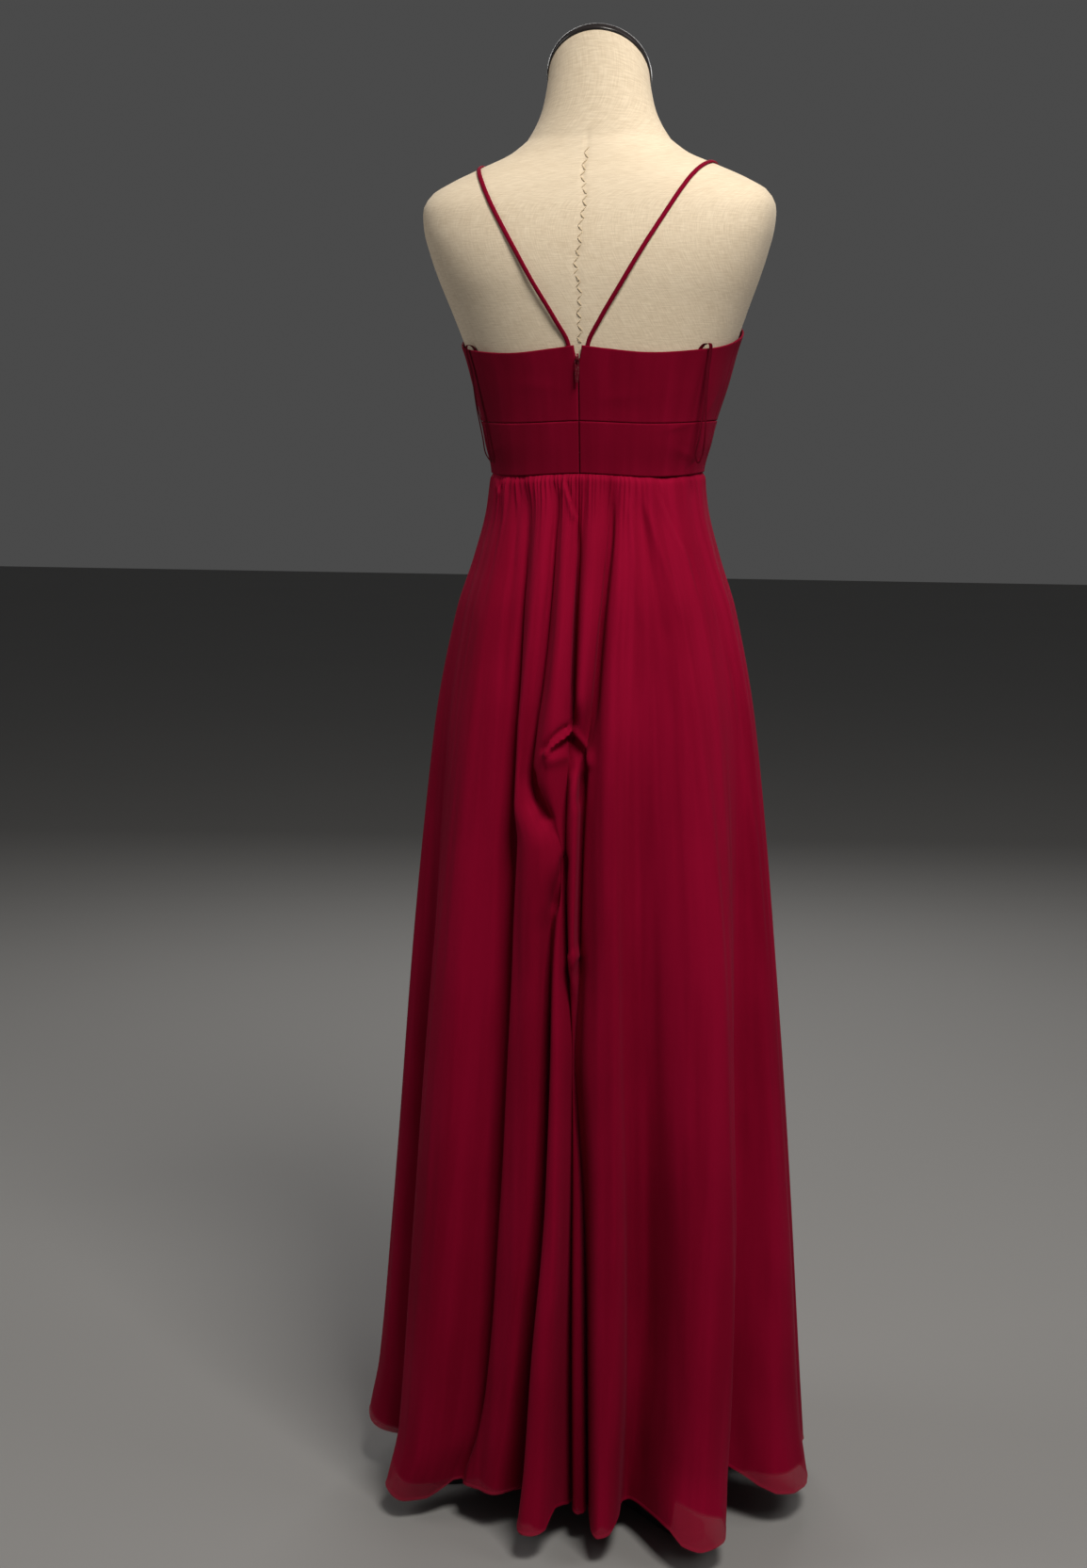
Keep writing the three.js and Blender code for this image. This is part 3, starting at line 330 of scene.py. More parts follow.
# painted light: past the lining the chiffon's colour is also painted paler, for the light coming through it
# Where the chiffon hangs past its lining, and so lets light through: up to this height, by angle.
LINING_HEM = [
    (-98, 60), (-85, 72), (-68, 54), (-60, 62), (-54, 62), (-47, 48), (-42, 44), (-31, 60), (-22, 50),
    (-14, 42), (-6, 46), (-1, 30), (3, 24), (6, 44), (9.5, 28), (14, 46), (20, 30), (26, 24), (30, 36),
    (32.5, 50), (34, 76), (44, 58), (52, 36), (60, 62), (65.5, 62), (67, 64), (70, 62), (79, 61),
    (86, 60), (90, 44), (99, 26), (110, 52), (121, 26), (133, 60), (146, 26), (158, 50), (170, 26),
    (182, 66), (195, 26), (207, 50), (218, 26), (230, 60), (241, 26), (252, 60), (262, 60),
]

# ---- straps, loops and zip -------------------------------------------------------------------------------

STRAP_GUIDES = [  # across, y, z, how far off the form
    (10.5, 97, 1268, 1.2),
    (10.5, 98, 1281, 1.2),
    (24, 101, 1306, 3.2),
    (45, 102, 1340, 4),
    (68, 100, 1378, 2.6),
    (90, 90, 1414, 1.5),
    (108, 68, 1444, 1.5),
    (119, 40, 1461, 1.5),
    (123, 10, 1467, 1.5),
    (120, -20, 1462, 1.5),
    (111, -46, 1444, 1.5),
    (98, -68, 1412, 1.5),
    (86, -84, 1378, 1.5),
    (77, -94, 1350, 1.2),
    (75, -98, 1335, 1.2),
]
LOOPS = [
    {"name": "left", "angle": -66, "hang": (7, 10, 9, 7)},
    {"name": "right", "angle": 66, "hang": (9, 15, 20, 21)},
]
SLIDER_BODY = {"width": 2.6, "half_height": 4.5, "plate": 1.6, "clear": 0.1}
BRIDGE = {"half_height": 2.7, "depth": 2.5, "wire": (0.95, 1.9)}
PULL_TAB = {"length": 24, "width": 5, "thickness": 1, "hole": 3.4, "hole_length": 5.4, "bar": 1}

# ---- camera, light and colour ----------------------------------------------------------------------------

PHOTO = {"width": 1154, "height": 1665, "focal": 2350}  # pixels
CAMERA = {"distance": 2.4, "angle": 12, "height": 1.21, "down": 9.5, "axis_x": 634}
SENSOR = 36
FLOOR_REACH = 14000

# The bodice looks deeper than the skirt, facing a little down, away from the light from above.
BODICE_SHADE = 0.7  # painted shade: the bodice's chiffon is coloured darker than the skirt's
SHEER_OPEN = 0.3  # how much of the light the chiffon lets straight through where it has no lining
COLOURS = {
    "chiffon": (0.275, 0.0026, 0.0255),
    "chiffon_dark": (0.215, 0.0017, 0.0185),
    # painted light: the sheer chiffon's paler colour stands for light coming through the single layer
    "chiffon_sheer_painted_light": (0.34, 0.015, 0.042),
    "ribbon": (0.10, 0.0012, 0.009),
    "linen": (0.72, 0.615, 0.465),
    "linen_dark": (0.57, 0.465, 0.33),
    "thread": (0.62, 0.50, 0.33),
    "lacquer": (0.012, 0.010, 0.010),
    "metal": (0.16, 0.008, 0.02),
    "metal_worn": (0.42, 0.28, 0.27),
    "iron": (0.02, 0.021, 0.023),
    "floor": (0.27, 0.268, 0.264),
}
LIGHTS = [  # name, place, aim, size, power, colour
    ("key", (-0.85, 1.2, 2.9), (0, 0, 1.3), 0.8, 61, (1.0, 0.96, 0.90)),
    ("left side", (2.1, 0.5, 2.0), (0, 0, 1.2), 1.2, 12, (1.0, 0.97, 0.95)),
    ("right side", (-2.0, 0.2, 2.4), (0, 0, 1.3), 1.0, 9, (1.0, 0.97, 0.95)),
    ("front", (0.4, -2.6, 2.4), (0, 0, 1.0), 2.0, 34, (1.0, 0.98, 0.96)),
]
WORLD = {"colour": (0.80, 0.80, 0.80), "strength": 0.085}


# ---- curves through the tables ---------------------------------------------------------------------------


def smooth_through(xs, ys, x):
    """A smooth curve through the points (xs, ys), with xs rising, that never overshoots between them."""
    xs = np.asarray(xs, float)
    ys = np.asarray(ys, float)
    secants = np.diff(ys) / np.diff(xs)
    slopes = np.empty_like(ys)
    slopes[0] = secants[0]
    slopes[-1] = secants[-1]
    product = secants[:-1] * secants[1:]
    total = secants[:-1] + secants[1:]
    slopes[1:-1] = np.where(product > 0, 2 * product / np.where(total == 0, 1, total), 0)
    at = np.clip(x, xs[0], xs[-1])
    i = np.clip(np.searchsorted(xs, at, side="right") - 1, 0, len(xs) - 2)
    width = xs[i + 1] - xs[i]
    t = (at - xs[i]) / width
    return (
        ys[i] * (2 * t**3 - 3 * t**2 + 1)
        + slopes[i] * width * (t**3 - 2 * t**2 + t)
        + ys[i + 1] * (3 * t**2 - 2 * t**3)
        + slopes[i + 1] * width * (t**3 - t**2)
    )


def column(table, index, x):
    """A table's column, as a smooth curve of its first column."""
    return smooth_through([row[0] for row in table], [row[index] for row in table], x)


def smooth_step(x):
    x = np.clip(x, 0, 1)
    return x * x * (3 - 2 * x)


def bell(x, spread):
    return np.exp(-0.5 * (x / spread) ** 2)


def oval(angle, side, back, front, power):
    """How far an oval with these half sizes reaches at an angle."""
    across = np.abs(np.sin(np.radians(angle))) / side
    along = np.cos(np.radians(angle))
    depth = np.where(along > 0, back, front)
    return (across**power + np.abs(along / depth) ** power) ** (-1 / power)


def place(angle, radius, z):
    """Points at an angle round the figure, this far from the axis and this high."""
    turn = np.radians(angle)
    return np.stack(np.broadcast_arrays(-radius * np.sin(turn), radius * np.cos(turn), z), axis=-1)


def from_back(angle):
    turned = np.mod(angle, 360)
    return np.where(turned > 180, 360 - turned, turned)


def unit(vectors):
    return vectors / np.linalg.norm(vectors, axis=-1, keepdims=True)


# ---- meshes ----------------------------------------------------------------------------------------------


def mesh_object(name, points, faces, material, uv=None, sharp=50):
    """An object from points in mm. uv has a place in metres for each point."""
    mesh = bpy.data.meshes.new(name)
    mesh.from_pydata((np.asarray(points) * MM).tolist(), [], [list(face) for face in faces])
    mesh.validate()
    mesh.shade_smooth()
    mesh.set_sharp_from_angle(angle=math.radians(sharp))
    if uv is not None:
        corners = np.empty(len(mesh.loops), dtype=np.int32)
        mesh.loops.foreach_get("vertex_index", corners)
        layer = mesh.uv_layers.new(name="cloth")
        layer.data.foreach_set("uv", np.asarray(uv, dtype=np.float32)[corners].ravel())
    mesh.materials.append(material)
    made = bpy.data.objects.new(name, mesh)
    bpy.context.scene.collection.objects.link(made)
    return made


def ring_normals(points):
    """The outward direction at each point of a grid that runs all the way round to its first column again."""
    up = np.gradient(points, axis=0)
    round_ = np.gradient(points, axis=1)
    round_[:, 0] = round_[:, -1] = points[:, 1] - points[:, -2]
    return unit(np.cross(round_, up))


def grid_lengths(points):
    """How far each point of a grid is from the first column and from the first row, along the grid."""
    round_ = np.linalg.norm(np.diff(points, axis=1), axis=-1)
    up = np.linalg.norm(np.diff(points, axis=0), axis=-1)
    across = np.concatenate([np.zeros((len(points), 1)), np.cumsum(round_, axis=1)], axis=1)
    along = np.concatenate([np.zeros((1, points.shape[1])), np.cumsum(up, axis=0)], axis=0)
    return across, along


def shell(name, outer, inner, material, sharp=50):
    """A closed sheet of cloth between two grids of points."""
    rows, columns = outer.shape[:2]
    layer = rows * columns
    at = np.arange(layer).reshape(rows, columns)

    def quads(a, b, c, d):
        return np.stack([a.ravel(), b.ravel(), c.ravel(), d.ravel()], axis=-1)

    back = at + layer
    faces = [
        quads(at[:-1, :-1], at[:-1, 1:], at[1:, 1:], at[1:, :-1]),
        quads(back[:-1, :-1], back[1:, :-1], back[1:, 1:], back[:-1, 1:]),
        quads(at[:-1, 0], at[1:, 0], back[1:, 0], back[:-1, 0]),
        quads(at[1:, -1], at[:-1, -1], back[:-1, -1], back[1:, -1]),
        quads(at[0, 1:], at[0, :-1], back[0, :-1], back[0, 1:]),
        quads(at[-1, :-1], at[-1, 1:], back[-1, 1:], back[-1, :-1]),
    ]
    across, along = grid_lengths(outer)
    middle = across[rows // 2]
    uv = np.stack([np.broadcast_to(middle, across.shape), along], axis=-1).reshape(-1, 2) * MM
    points = np.concatenate([outer.reshape(-1, 3), inner.reshape(-1, 3)])
    return mesh_object(name, points, np.concatenate(faces), material, np.concatenate([uv, uv]), sharp)


def loft(name, rings, material, uv=None, sharp=50):
    """A solid through closed rings of points, each running round with the angle."""
    rings = np.asarray(rings, float)
    count = rings.shape[1]
    at = np.arange(rings.shape[0] * count).reshape(rings.shape[:2])
    ahead = np.roll(at, -1, axis=1)
    faces = np.stack([at[:-1], ahead[:-1], ahead[1:], at[1:]], axis=-1).reshape(-1, 4).tolist()
    faces += [at[0][::-1].tolist(), at[-1].tolist()]
    return mesh_object(name, rings.reshape(-1, 3), faces, material, uv, sharp)


def ring_uv(rings):
    """Places in metres on a loft's surface, from a seam at its first point."""
    rings = np.asarray(rings, float)
    round_ = np.linalg.norm(np.roll(rings, -1, axis=1) - rings, axis=-1)
    across = np.cumsum(round_, axis=1) - round_
    up = np.linalg.norm(np.diff(rings, axis=0), axis=-1).mean(axis=1)
    along = np.broadcast_to(np.concatenate([[0], np.cumsum(up)])[:, None], across.shape)
    return np.stack([across, along], axis=-1).reshape(-1, 2) * MM


def sweep(name, path, facing, section, material):
    """A solid along a path. facing is the direction that the section's second axis looks in at each point."""
    path = np.asarray(path, float)
    along = unit(np.gradient(path, axis=0))
    across = unit(np.cross(along, facing))
    out = np.cross(across, along)
    section = np.asarray(section, float)
    rings = path[:, None] + across[:, None] * section[None, :, :1] - out[:, None] * section[None, :, 1:]
    return loft(name, rings, material, ring_uv(rings))


def oval_section(width, thickness, count=12, power=2.0):
    turn = np.linspace(0, 2 * math.pi, count, endpoint=False)
    reach = (np.abs(np.cos(turn)) ** power + np.abs(np.sin(turn)) ** power) ** (-1 / power)
    return np.stack([np.cos(turn) * reach * width / 2, np.sin(turn) * reach * thickness / 2], axis=-1)


def joined(name, objects):
    """One object from several that share their materials."""
    bpy.ops.object.select_all(action="DESELECT")
    for made in objects:
        made.select_set(True)
    bpy.context.view_layer.objects.active = objects[0]
    bpy.ops.object.join()
    objects[0].name = name
    objects[0].data.name = name
    return objects[0]


# ---- materials -------------------------------------------------------------------------------------------


class Look:
    """A material's node tree, with short calls for the nodes that the finishes share."""

    def __init__(self, name, roughness=0.8, metallic=0.0, specular=0.5):
        self.material = bpy.data.materials.new(name)
        self.material.use_nodes = True
        self.nodes = self.material.node_tree.nodes
        self.links = self.material.node_tree.links
        self.shader = self.nodes["Principled BSDF"]
        self.shader.inputs["Roughness"].default_value = roughness
        self.shader.inputs["Metallic"].default_value = metallic
        self.shader.inputs["Specular IOR Level"].default_value = specular

    def link(self, source, target):
        self.links.new(source, target)

    def coordinates(self, kind, scale):
        source = self.nodes.new("ShaderNodeTexCoord")
        mapping = self.nodes.new("ShaderNodeMapping")
        mapping.inputs["Scale"].default_value = scale
        self.link(source.outputs[kind], mapping.inputs["Vector"])
        return mapping.outputs["Vector"]

    def noise(self, vector, detail=3.0, roughness=0.55):
        node = self.nodes.new("ShaderNodeTexNoise")
        node.inputs["Scale"].default_value = 1.0
        node.inputs["Detail"].default_value = detail
        node.inputs["Roughness"].default_value = roughness
        self.link(vector, node.inputs["Vector"])
        return node.outputs["Fac"]

    def bands(self, vector, direction):
        node = self.nodes.new("ShaderNodeTexWave")
        node.bands_direction = direction
        node.inputs["Scale"].default_value = 1.0
        node.inputs["Distortion"].default_value = 0.6
        node.inputs["Detail"].default_value = 1.0
        self.link(vector, node.inputs["Vector"])
        return node.outputs["Fac"]

    def ramp(self, value, low, high, to_low=0.0, to_high=1.0):
        node = self.nodes.new("ShaderNodeMapRange")
        node.interpolation_type = "SMOOTHSTEP"
        node.inputs["From Min"].default_value = low
        node.inputs["From Max"].default_value = high
        node.inputs["To Min"].default_value = to_low
        node.inputs["To Max"].default_value = to_high
        self.link(value, node.inputs["Value"])
        return node.outputs["Result"]

    def math(self, operation, first, second):
        node = self.nodes.new("ShaderNodeMath")
        node.operation = operation
        for socket, value in zip(node.inputs, (first, second)):
            if isinstance(value, (int, float)):
                socket.default_value = value
            else:
                self.link(value, socket)
        return node.outputs["Value"]

    def blend(self, factor, first, second):
        node = self.nodes.new("ShaderNodeMix")
        node.data_type = "RGBA"
        self.link(factor, node.inputs["Factor"])
        for socket, value in ((node.inputs["A"], first), (node.inputs["B"], second)):
            if isinstance(value, tuple):
                socket.default_value = (*value, 1)
            else:
                self.link(value, socket)
        return node.outputs["Result"]

    def bump(self, height, distance, strength=1.0, after=None):
        node = self.nodes.new("ShaderNodeBump")
        node.inputs["Distance"].default_value = distance
        node.inputs["Strength"].default_value = strength
        self.link(height, node.inputs["Height"])
        if after is not None:
            self.link(after, node.inputs["Normal"])
        return node.outputs["Normal"]

    def attribute(self, name):
        node = self.nodes.new("ShaderNodeAttribute")
        node.attribute_name = name
        return node.outputs["Fac"]


def chiffon_look(name, shade=1.0, sheer=False):
    """Burgundy chiffon. Past its lining, a sheer one lets light through and is painted paler for that light.
    """
    look = Look(name, roughness=0.85, specular=0.1)
    look.shader.inputs["Specular Tint"].default_value = (1.0, 0.25, 0.38, 1)
    look.shader.inputs["Sheen Weight"].default_value = 0.06
    look.shader.inputs["Sheen Roughness"].default_value = 0.4
    look.shader.inputs["Sheen Tint"].default_value = (1.0, 0.16, 0.3, 1)
    streaks = look.noise(look.coordinates("UV", (60, 2.5, 1)), detail=4)
    clouds = look.noise(look.coordinates("UV", (7, 5, 1)), detail=2)
    tone = look.ramp(look.math("ADD", streaks, clouds), 0.75, 1.25)
    # painted shade: a shade below 1 darkens both colours
    dark, light = (tuple(shade * part for part in COLOURS[key]) for key in ("chiffon_dark", "chiffon"))
    colour = look.blend(tone, dark, light)
    crepe = look.noise(look.coordinates("UV", (1500, 1500, 1)), detail=2)
    warp = look.bands(look.coordinates("UV", (620, 620, 1)), "X")
    weft = look.bands(look.coordinates("UV", (620, 620, 1)), "Y")
    weave = look.math("ADD", look.math("MULTIPLY", warp, weft), crepe)
    normal = look.bump(weave, 0.00012, 0.5)
    puckers = look.noise(look.coordinates("UV", (90, 30, 1)), detail=3)
    look.link(look.bump(puckers, 0.0006, 0.25, normal), look.shader.inputs["Normal"])
    if not sheer:
        look.link(colour, look.shader.inputs["Base Color"])
        return look.material
    bare = look.ramp(look.attribute("above_lining_hem"), -0.0025, 0.0025, 1.0, 0.0)
    # painted light: where it is bare of lining, the colour is blended to a paler one for the light coming
    # through
    look.link(look.blend(bare, colour, COLOURS["chiffon_sheer_painted_light"]), look.shader.inputs["Base Color"])
    solid = look.math("SUBTRACT", 1.0, look.math("MULTIPLY", bare, SHEER_OPEN))
    look.link(solid, look.shader.inputs["Alpha"])
    return look.material


def ribbon_look():
    look = Look("satin_ribbon", roughness=0.55, specular=0.08)
    look.shader.inputs["Specular Tint"].default_value = (1.0, 0.25, 0.38, 1)
    ribs = look.bands(look.coordinates("UV", (2200, 300, 1)), "X")
    tone = look.noise(look.coordinates("UV", (300, 40, 1)))
    darker = tuple(0.7 * part for part in COLOURS["ribbon"])
    look.link(look.blend(tone, darker, COLOURS["ribbon"]), look.shader.inputs["Base Color"])
    look.link(look.bump(ribs, 0.0001, 0.5), look.shader.inputs["Normal"])
    return look.material


def tape_look():
    look = Look("zip_tape_weave", roughness=0.7, specular=0.25)
    twill = look.bands(look.coordinates("UV", (1400, 900, 1)), "DIAGONAL")
    darker = tuple(0.6 * part for part in COLOURS["ribbon"])
    look.link(look.blend(twill, darker, COLOURS["ribbon"]), look.shader.inputs["Base Color"])
    look.link(look.bump(twill, 0.00015, 0.6), look.shader.inputs["Normal"])
    return look.material


def linen_look():
    """Natural linen with thick and thin weft threads."""
    look = Look("form_linen", roughness=0.88, specular=0.2)
    look.shader.inputs["Sheen Weight"].default_value = 0.08
    slubs = look.noise(look.coordinates("UV", (75, 900, 1)), detail=2, roughness=0.6)
    threads = look.noise(look.coordinates("UV", (900, 75, 1)), detail=2)
    patches = look.noise(look.coordinates("UV", (9, 14, 1)), detail=2)
    weave = look.math("ADD", slubs, look.math("MULTIPLY", threads, 0.8))
    tone = look.ramp(look.math("ADD", weave, look.math("MULTIPLY", patches, 0.35)), 0.7, 1.45)
    look.link(look.blend(tone, COLOURS["linen_dark"], COLOURS["linen"]), look.shader.inputs["Base Color"])
    look.link(look.bump(weave, 0.0003, 0.35), look.shader.inputs["Normal"])
    return look.material


def thread_look():
    look = Look("linen_thread", roughness=0.7, specular=0.3)
    twist = look.bands(look.coordinates("UV", (900, 900, 1)), "DIAGONAL")
    darker = tuple(0.75 * part for part in COLOURS["thread"])
    look.link(look.blend(twist, darker, COLOURS["thread"]), look.shader.inputs["Base Color"])
    look.link(look.bump(twist, 0.0001, 0.5), look.shader.inputs["Normal"])
    return look.material


def lacquer_look():
    look = Look("black_gloss", roughness=0.3, specular=0.35)
    look.shader.inputs["Coat Weight"].default_value = 0.25
    look.shader.inputs["Coat Roughness"].default_value = 0.12
    smudges = look.noise(look.coordinates("Object", (22, 22, 22)), detail=4)
    look.link(look.ramp(smudges, 0.35, 0.7, 0.22, 0.38), look.shader.inputs["Roughness"])
    lighter = tuple(2.2 * part for part in COLOURS["lacquer"])
    look.link(look.blend(smudges, COLOURS["lacquer"], lighter), look.shader.inputs["Base Color"])
    look.link(look.bump(smudges, 0.0004, 0.1), look.shader.inputs["Normal"])
    return look.material


def metal_look():
    look = Look("zip_enamel", roughness=0.35, metallic=0.55)
    wear = look.noise(look.coordinates("Object", (900, 900, 900)), detail=3)
    bright = look.ramp(wear, 0.6, 0.72)
    look.link(look.blend(bright, COLOURS["metal"], COLOURS["metal_worn"]), look.shader.inputs["Base Color"])
    look.link(look.ramp(wear, 0.4, 0.7, 0.28, 0.5), look.shader.inputs["Roughness"])
    look.link(look.bump(wear, 0.00005, 0.3), look.shader.inputs["Normal"])
    return look.material


def iron_look():
    look = Look("stand_paint", roughness=0.5, metallic=0.1)
    grain = look.noise(look.coordinates("Object", (420, 420, 420)), detail=3)
    rubbed = look.noise(look.coordinates("Object", (9, 9, 9)), detail=4)
    lighter = tuple(2.4 * part for part in COLOURS["iron"])
    bright = look.ramp(rubbed, 0.45, 0.75)
    look.link(look.blend(bright, COLOURS["iron"], lighter), look.shader.inputs["Base Color"])
    look.link(look.ramp(rubbed, 0.4, 0.75, 0.38, 0.6), look.shader.inputs["Roughness"])
    look.link(look.bump(grain, 0.0003, 0.3), look.shader.inputs["Normal"])
    return look.material


# ---- the dress form --------------------------------------------------------------------------------------


def bust_reach(angle, z):
    from_front = 180 - from_back(angle)
    side = bell(from_front - BUST["angle"], BUST["spread_angle"])
    middle = BUST["between"] * bell(from_front, BUST["spread_angle"])
    fall = np.where(z > BUST["z"], BUST["above"], BUST["below"])
    return BUST["reach"] * (side + middle) * bell(z - BUST["z"], fall)


def form_radius(angle, z):
    side, back, front, power = (column(FORM_SECTIONS, index, z) for index in (1, 2, 3, 4))
    return oval(angle, side, back, front, power) + bust_reach(angle, z)


def outside_form(angle, z, distance):
    """The form's surface moved out level by some distance, as the CAD solids are."""
    angle, z = np.broadcast_arrays(np.asarray(angle, float), np.asarray(z, float))

    def surface(a, h):
        return place(a, form_radius(a, h), h)

    round_ = surface(angle + 0.5, z) - surface(angle - 0.5, z)
    up = surface(angle, z + 1) - surface(angle, z - 1)
    level = unit(np.cross(round_, up)) * (1, 1, 0)
    length = (level**2).sum(axis=-1, keepdims=True)
    return surface(angle, z) + level * (np.asarray(distance)[..., None] / length)


def form_field(points):
    angle = np.degrees(np.arctan2(-points[..., 0], points[..., 1]))
    return np.hypot(points[..., 0], points[..., 1]) / form_radius(angle, points[..., 2]) - 1


def form_slope(points):
    step = 0.5
    axes = np.eye(3) * step
    return np.stack([(form_field(points + a) - form_field(points - a)) / (2 * step) for a in axes], axis=-1)


def on_form(guesses, distance):
    """The nearest places this far outside the form, and the directions straight out from it."""
    points = np.array(guesses, float)
    for _ in range(8):
        slope = form_slope(points)
        share = form_field(points) / (slope**2).sum(axis=-1)
        points = points - slope * share[..., None]
    facing = unit(form_slope(points))
    return points + facing * np.asarray(distance)[..., None], facing


def seam_wander(z):
    """How far the form's hand-sewn back seam strays from the centre, in mm."""
    return 2.1 * np.sin(z / 17) + 1.2 * np.sin(z / 7.3 + 1) + 0.012 * (z - 1290)


def neck_ring(round_, z, side, back, front, slope):
    points = place(round_, oval(round_, side, back, front, 2.0), z)
    turn = math.radians(NECK_TURN)
    points[..., 2] += slope * (points[..., 0] * math.sin(turn) + points[..., 1] * math.cos(turn))
    return points


def make_torso(material):
    round_ = np.linspace(-180, 180, FORM_ROUND, endpoint=False)
    levels = np.unique(np.concatenate([np.linspace(800, 1440, 86), np.linspace(1440, 1492, 22)]))
    rings = []
    for z in levels:
        radius = form_radius(round_, z)
        off_seam = np.radians(round_) * radius - seam_wander(z)
        groove = CENTRE_SEAM["depth"] * np.exp(-((off_seam / CENTRE_SEAM["width"]) ** 2))
        groove = groove + 0.35 * bell(z - NECK_SEAM_Z, 1.2)
        rings.append(place(round_, radius - groove, z))
    sections = [(1492, 76, 60, 50, 0.0), *NECK_SECTIONS]
    for z in np.linspace(1495, 1553, 26):
        side, back, front, slope = (column(sections, index, z) for index in (1, 2, 3, 4))
        rings.append(neck_ring(round_, z, side, back, front, slope))
    return loft("linen_torso", rings, material, ring_uv(rings), 40)


def make_back_stitches(material):
    """Hand stitches that cross the form's back seam, each a short bent thread."""
    made = []
    rng = np.random.default_rng(SEED + 3)
    for index, z in enumerate(np.arange(1284, 1478, 6.2)):
        lean = 2.2 if index % 2 else -2.2
        along = np.linspace(-1, 1, 7)
        middle = seam_wander(z)
        across = middle + along * lean + rng.normal(0, 0.15)
        heights = z + along * 2.6
        radius = form_radius(0, heights)
        angle = np.degrees(across / radius)
        lift = 0.6 * (1 - along**2) - 0.25
        path = place(angle, form_radius(angle, heights) + lift, heights)
        facing = np.broadcast_to((0.0, 1.0, 0.0), path.shape)
        made.append(sweep(f"stitch_{index}", path, facing, oval_section(0.9, 0.8, 6), material))
    return joined("form_seam_stitches", made)


def make_neck_cap(material):
    round_ = np.linspace(0, 360, 120, endpoint=False)
    z, side, back, front, slope = NECK_SECTIONS[-1]
    turn = math.radians(NECK_TURN)
    up = unit(np.array((-slope * math.sin(turn), -slope * math.cos(turn), 1.0)))
    rim = CAP["overhang"]
    top = CAP["thickness"]
    layers = [(0.3, -2), (0.3, rim - 1.4), (0.5, rim - 0.6), (1.0, rim - 0.15), (1.7, rim)]
    layers += [(top - 2.6, rim), (top - 1.3, rim - 0.35), (top - 0.4, rim - 1.2), (top, rim - 2.4)]
    for share in (0.2, 0.45, 0.75, 1.0):
        layers.append((top + CAP["dome"] * math.sin(share * math.pi / 2), rim - 2.4 - 22 * share))
    layers.append((top + CAP["dome"], rim - 44))
    rings = []
    for rise, grow in layers:
        ring = neck_ring(round_, z, side + grow, back + grow, front + grow, slope)
        rings.append(ring + up * rise)
    return loft("gloss_neck_cap", rings, material, ring_uv(rings), 60)


# ---- bodice and waistband --------------------------------------------------------------------------------


def seam_dip(dip, angle):
    return dip["depth"] * bell(from_back(angle) - dip["angle"], dip["spread"])


def waist_seam_z(angle):
    return WAIST_Z - seam_dip(WAIST_DIP, angle)


def band_seam_z(angle):
    return BAND_TOP_Z - seam_dip(BAND_DIP, angle)


def top_edge_z(angle):
    return column(TOP_EDGE, 1, from_back(angle))


def notch_width(z):
    up = smooth_step((z - NOTCH["bottom"]) / (NOTCH["top"] - NOTCH["bottom"]))
    return ZIP_HALF_GAP + (NOTCH["half_width"] - ZIP_HALF_GAP) * up


def sewn(z):
    return np.full_like(z, SEAM_GAP / 2)


def zipped(z):
    return np.full_like(z, ZIP_HALF_GAP)


def edge_roll(across, along, radius):
    """How far a piece's outer face falls away at its turned edges."""
    nearest = np.minimum(
        np.minimum(across, across[:, -1:] - across),
        np.minimum(along, along[-1:] - along),
    )
    share = np.clip(1 - nearest / radius, 0, 1)
    return radius * (1 - np.sqrt(1 - share**2 * 0.96))


def crowded(count, ease=0.35):
    """Shares from 0 to 1 that crowd towards both ends."""
    t = np.linspace(0, 1, count)
    return (1 - ease) * t + ease * smooth_step(smooth_step(t))


def bodice_lift(angle, z):
    lift = np.zeros(np.broadcast(angle, z).shape)
    for turns, drift, height in BODICE_WAVES:
        lift += height * np.sin(np.radians(angle) * turns + z * MM * drift * 2 * math.pi)
    for at, level, length, width, tilt, height in BODICE_CREASES:
        x = (np.mod(angle - at + 180, 360) - 180) * 2.0
        y = z - level
        turn = math.radians(tilt)
        along = x * math.cos(turn) + y * math.sin(turn)
        over = -x * math.sin(turn) + y * math.cos(turn)
        lift += height * bell(along, length / 2.4) * bell(over, width / 2)
    return lift


def bodice_piece(name, start, end, columns, rows, bottom, top, distance, thickness, parted, material):
    """A piece between two angles and two edges. parted is how far each end stays from its seam, by height."""
    t, v = np.meshgrid(crowded(columns), crowded(rows))
    angle = start + (end - start) * t
    low, high = bottom(angle), top(angle)
    z = low + (high - low) * v
    radius = form_radius(angle, z)
    first = start + np.degrees(parted[0](z) / radius)
    last = end - np.degrees(parted[1](z) / radius)
    angle = first + (last - first) * t
    flat = outside_form(angle, z, np.full(z.shape, distance))
    across, along = grid_lengths(flat)
    lift = bodice_lift(angle, z) * smooth_step(np.minimum(across, across[:, -1:] - across) / 12)
    outer = outside_form(angle, z, distance + lift - edge_roll(across, along, EDGE_ROLL))
    inner = outside_form(angle, z, np.full(z.shape, distance - thickness))
    return shell(name, outer, inner, material)


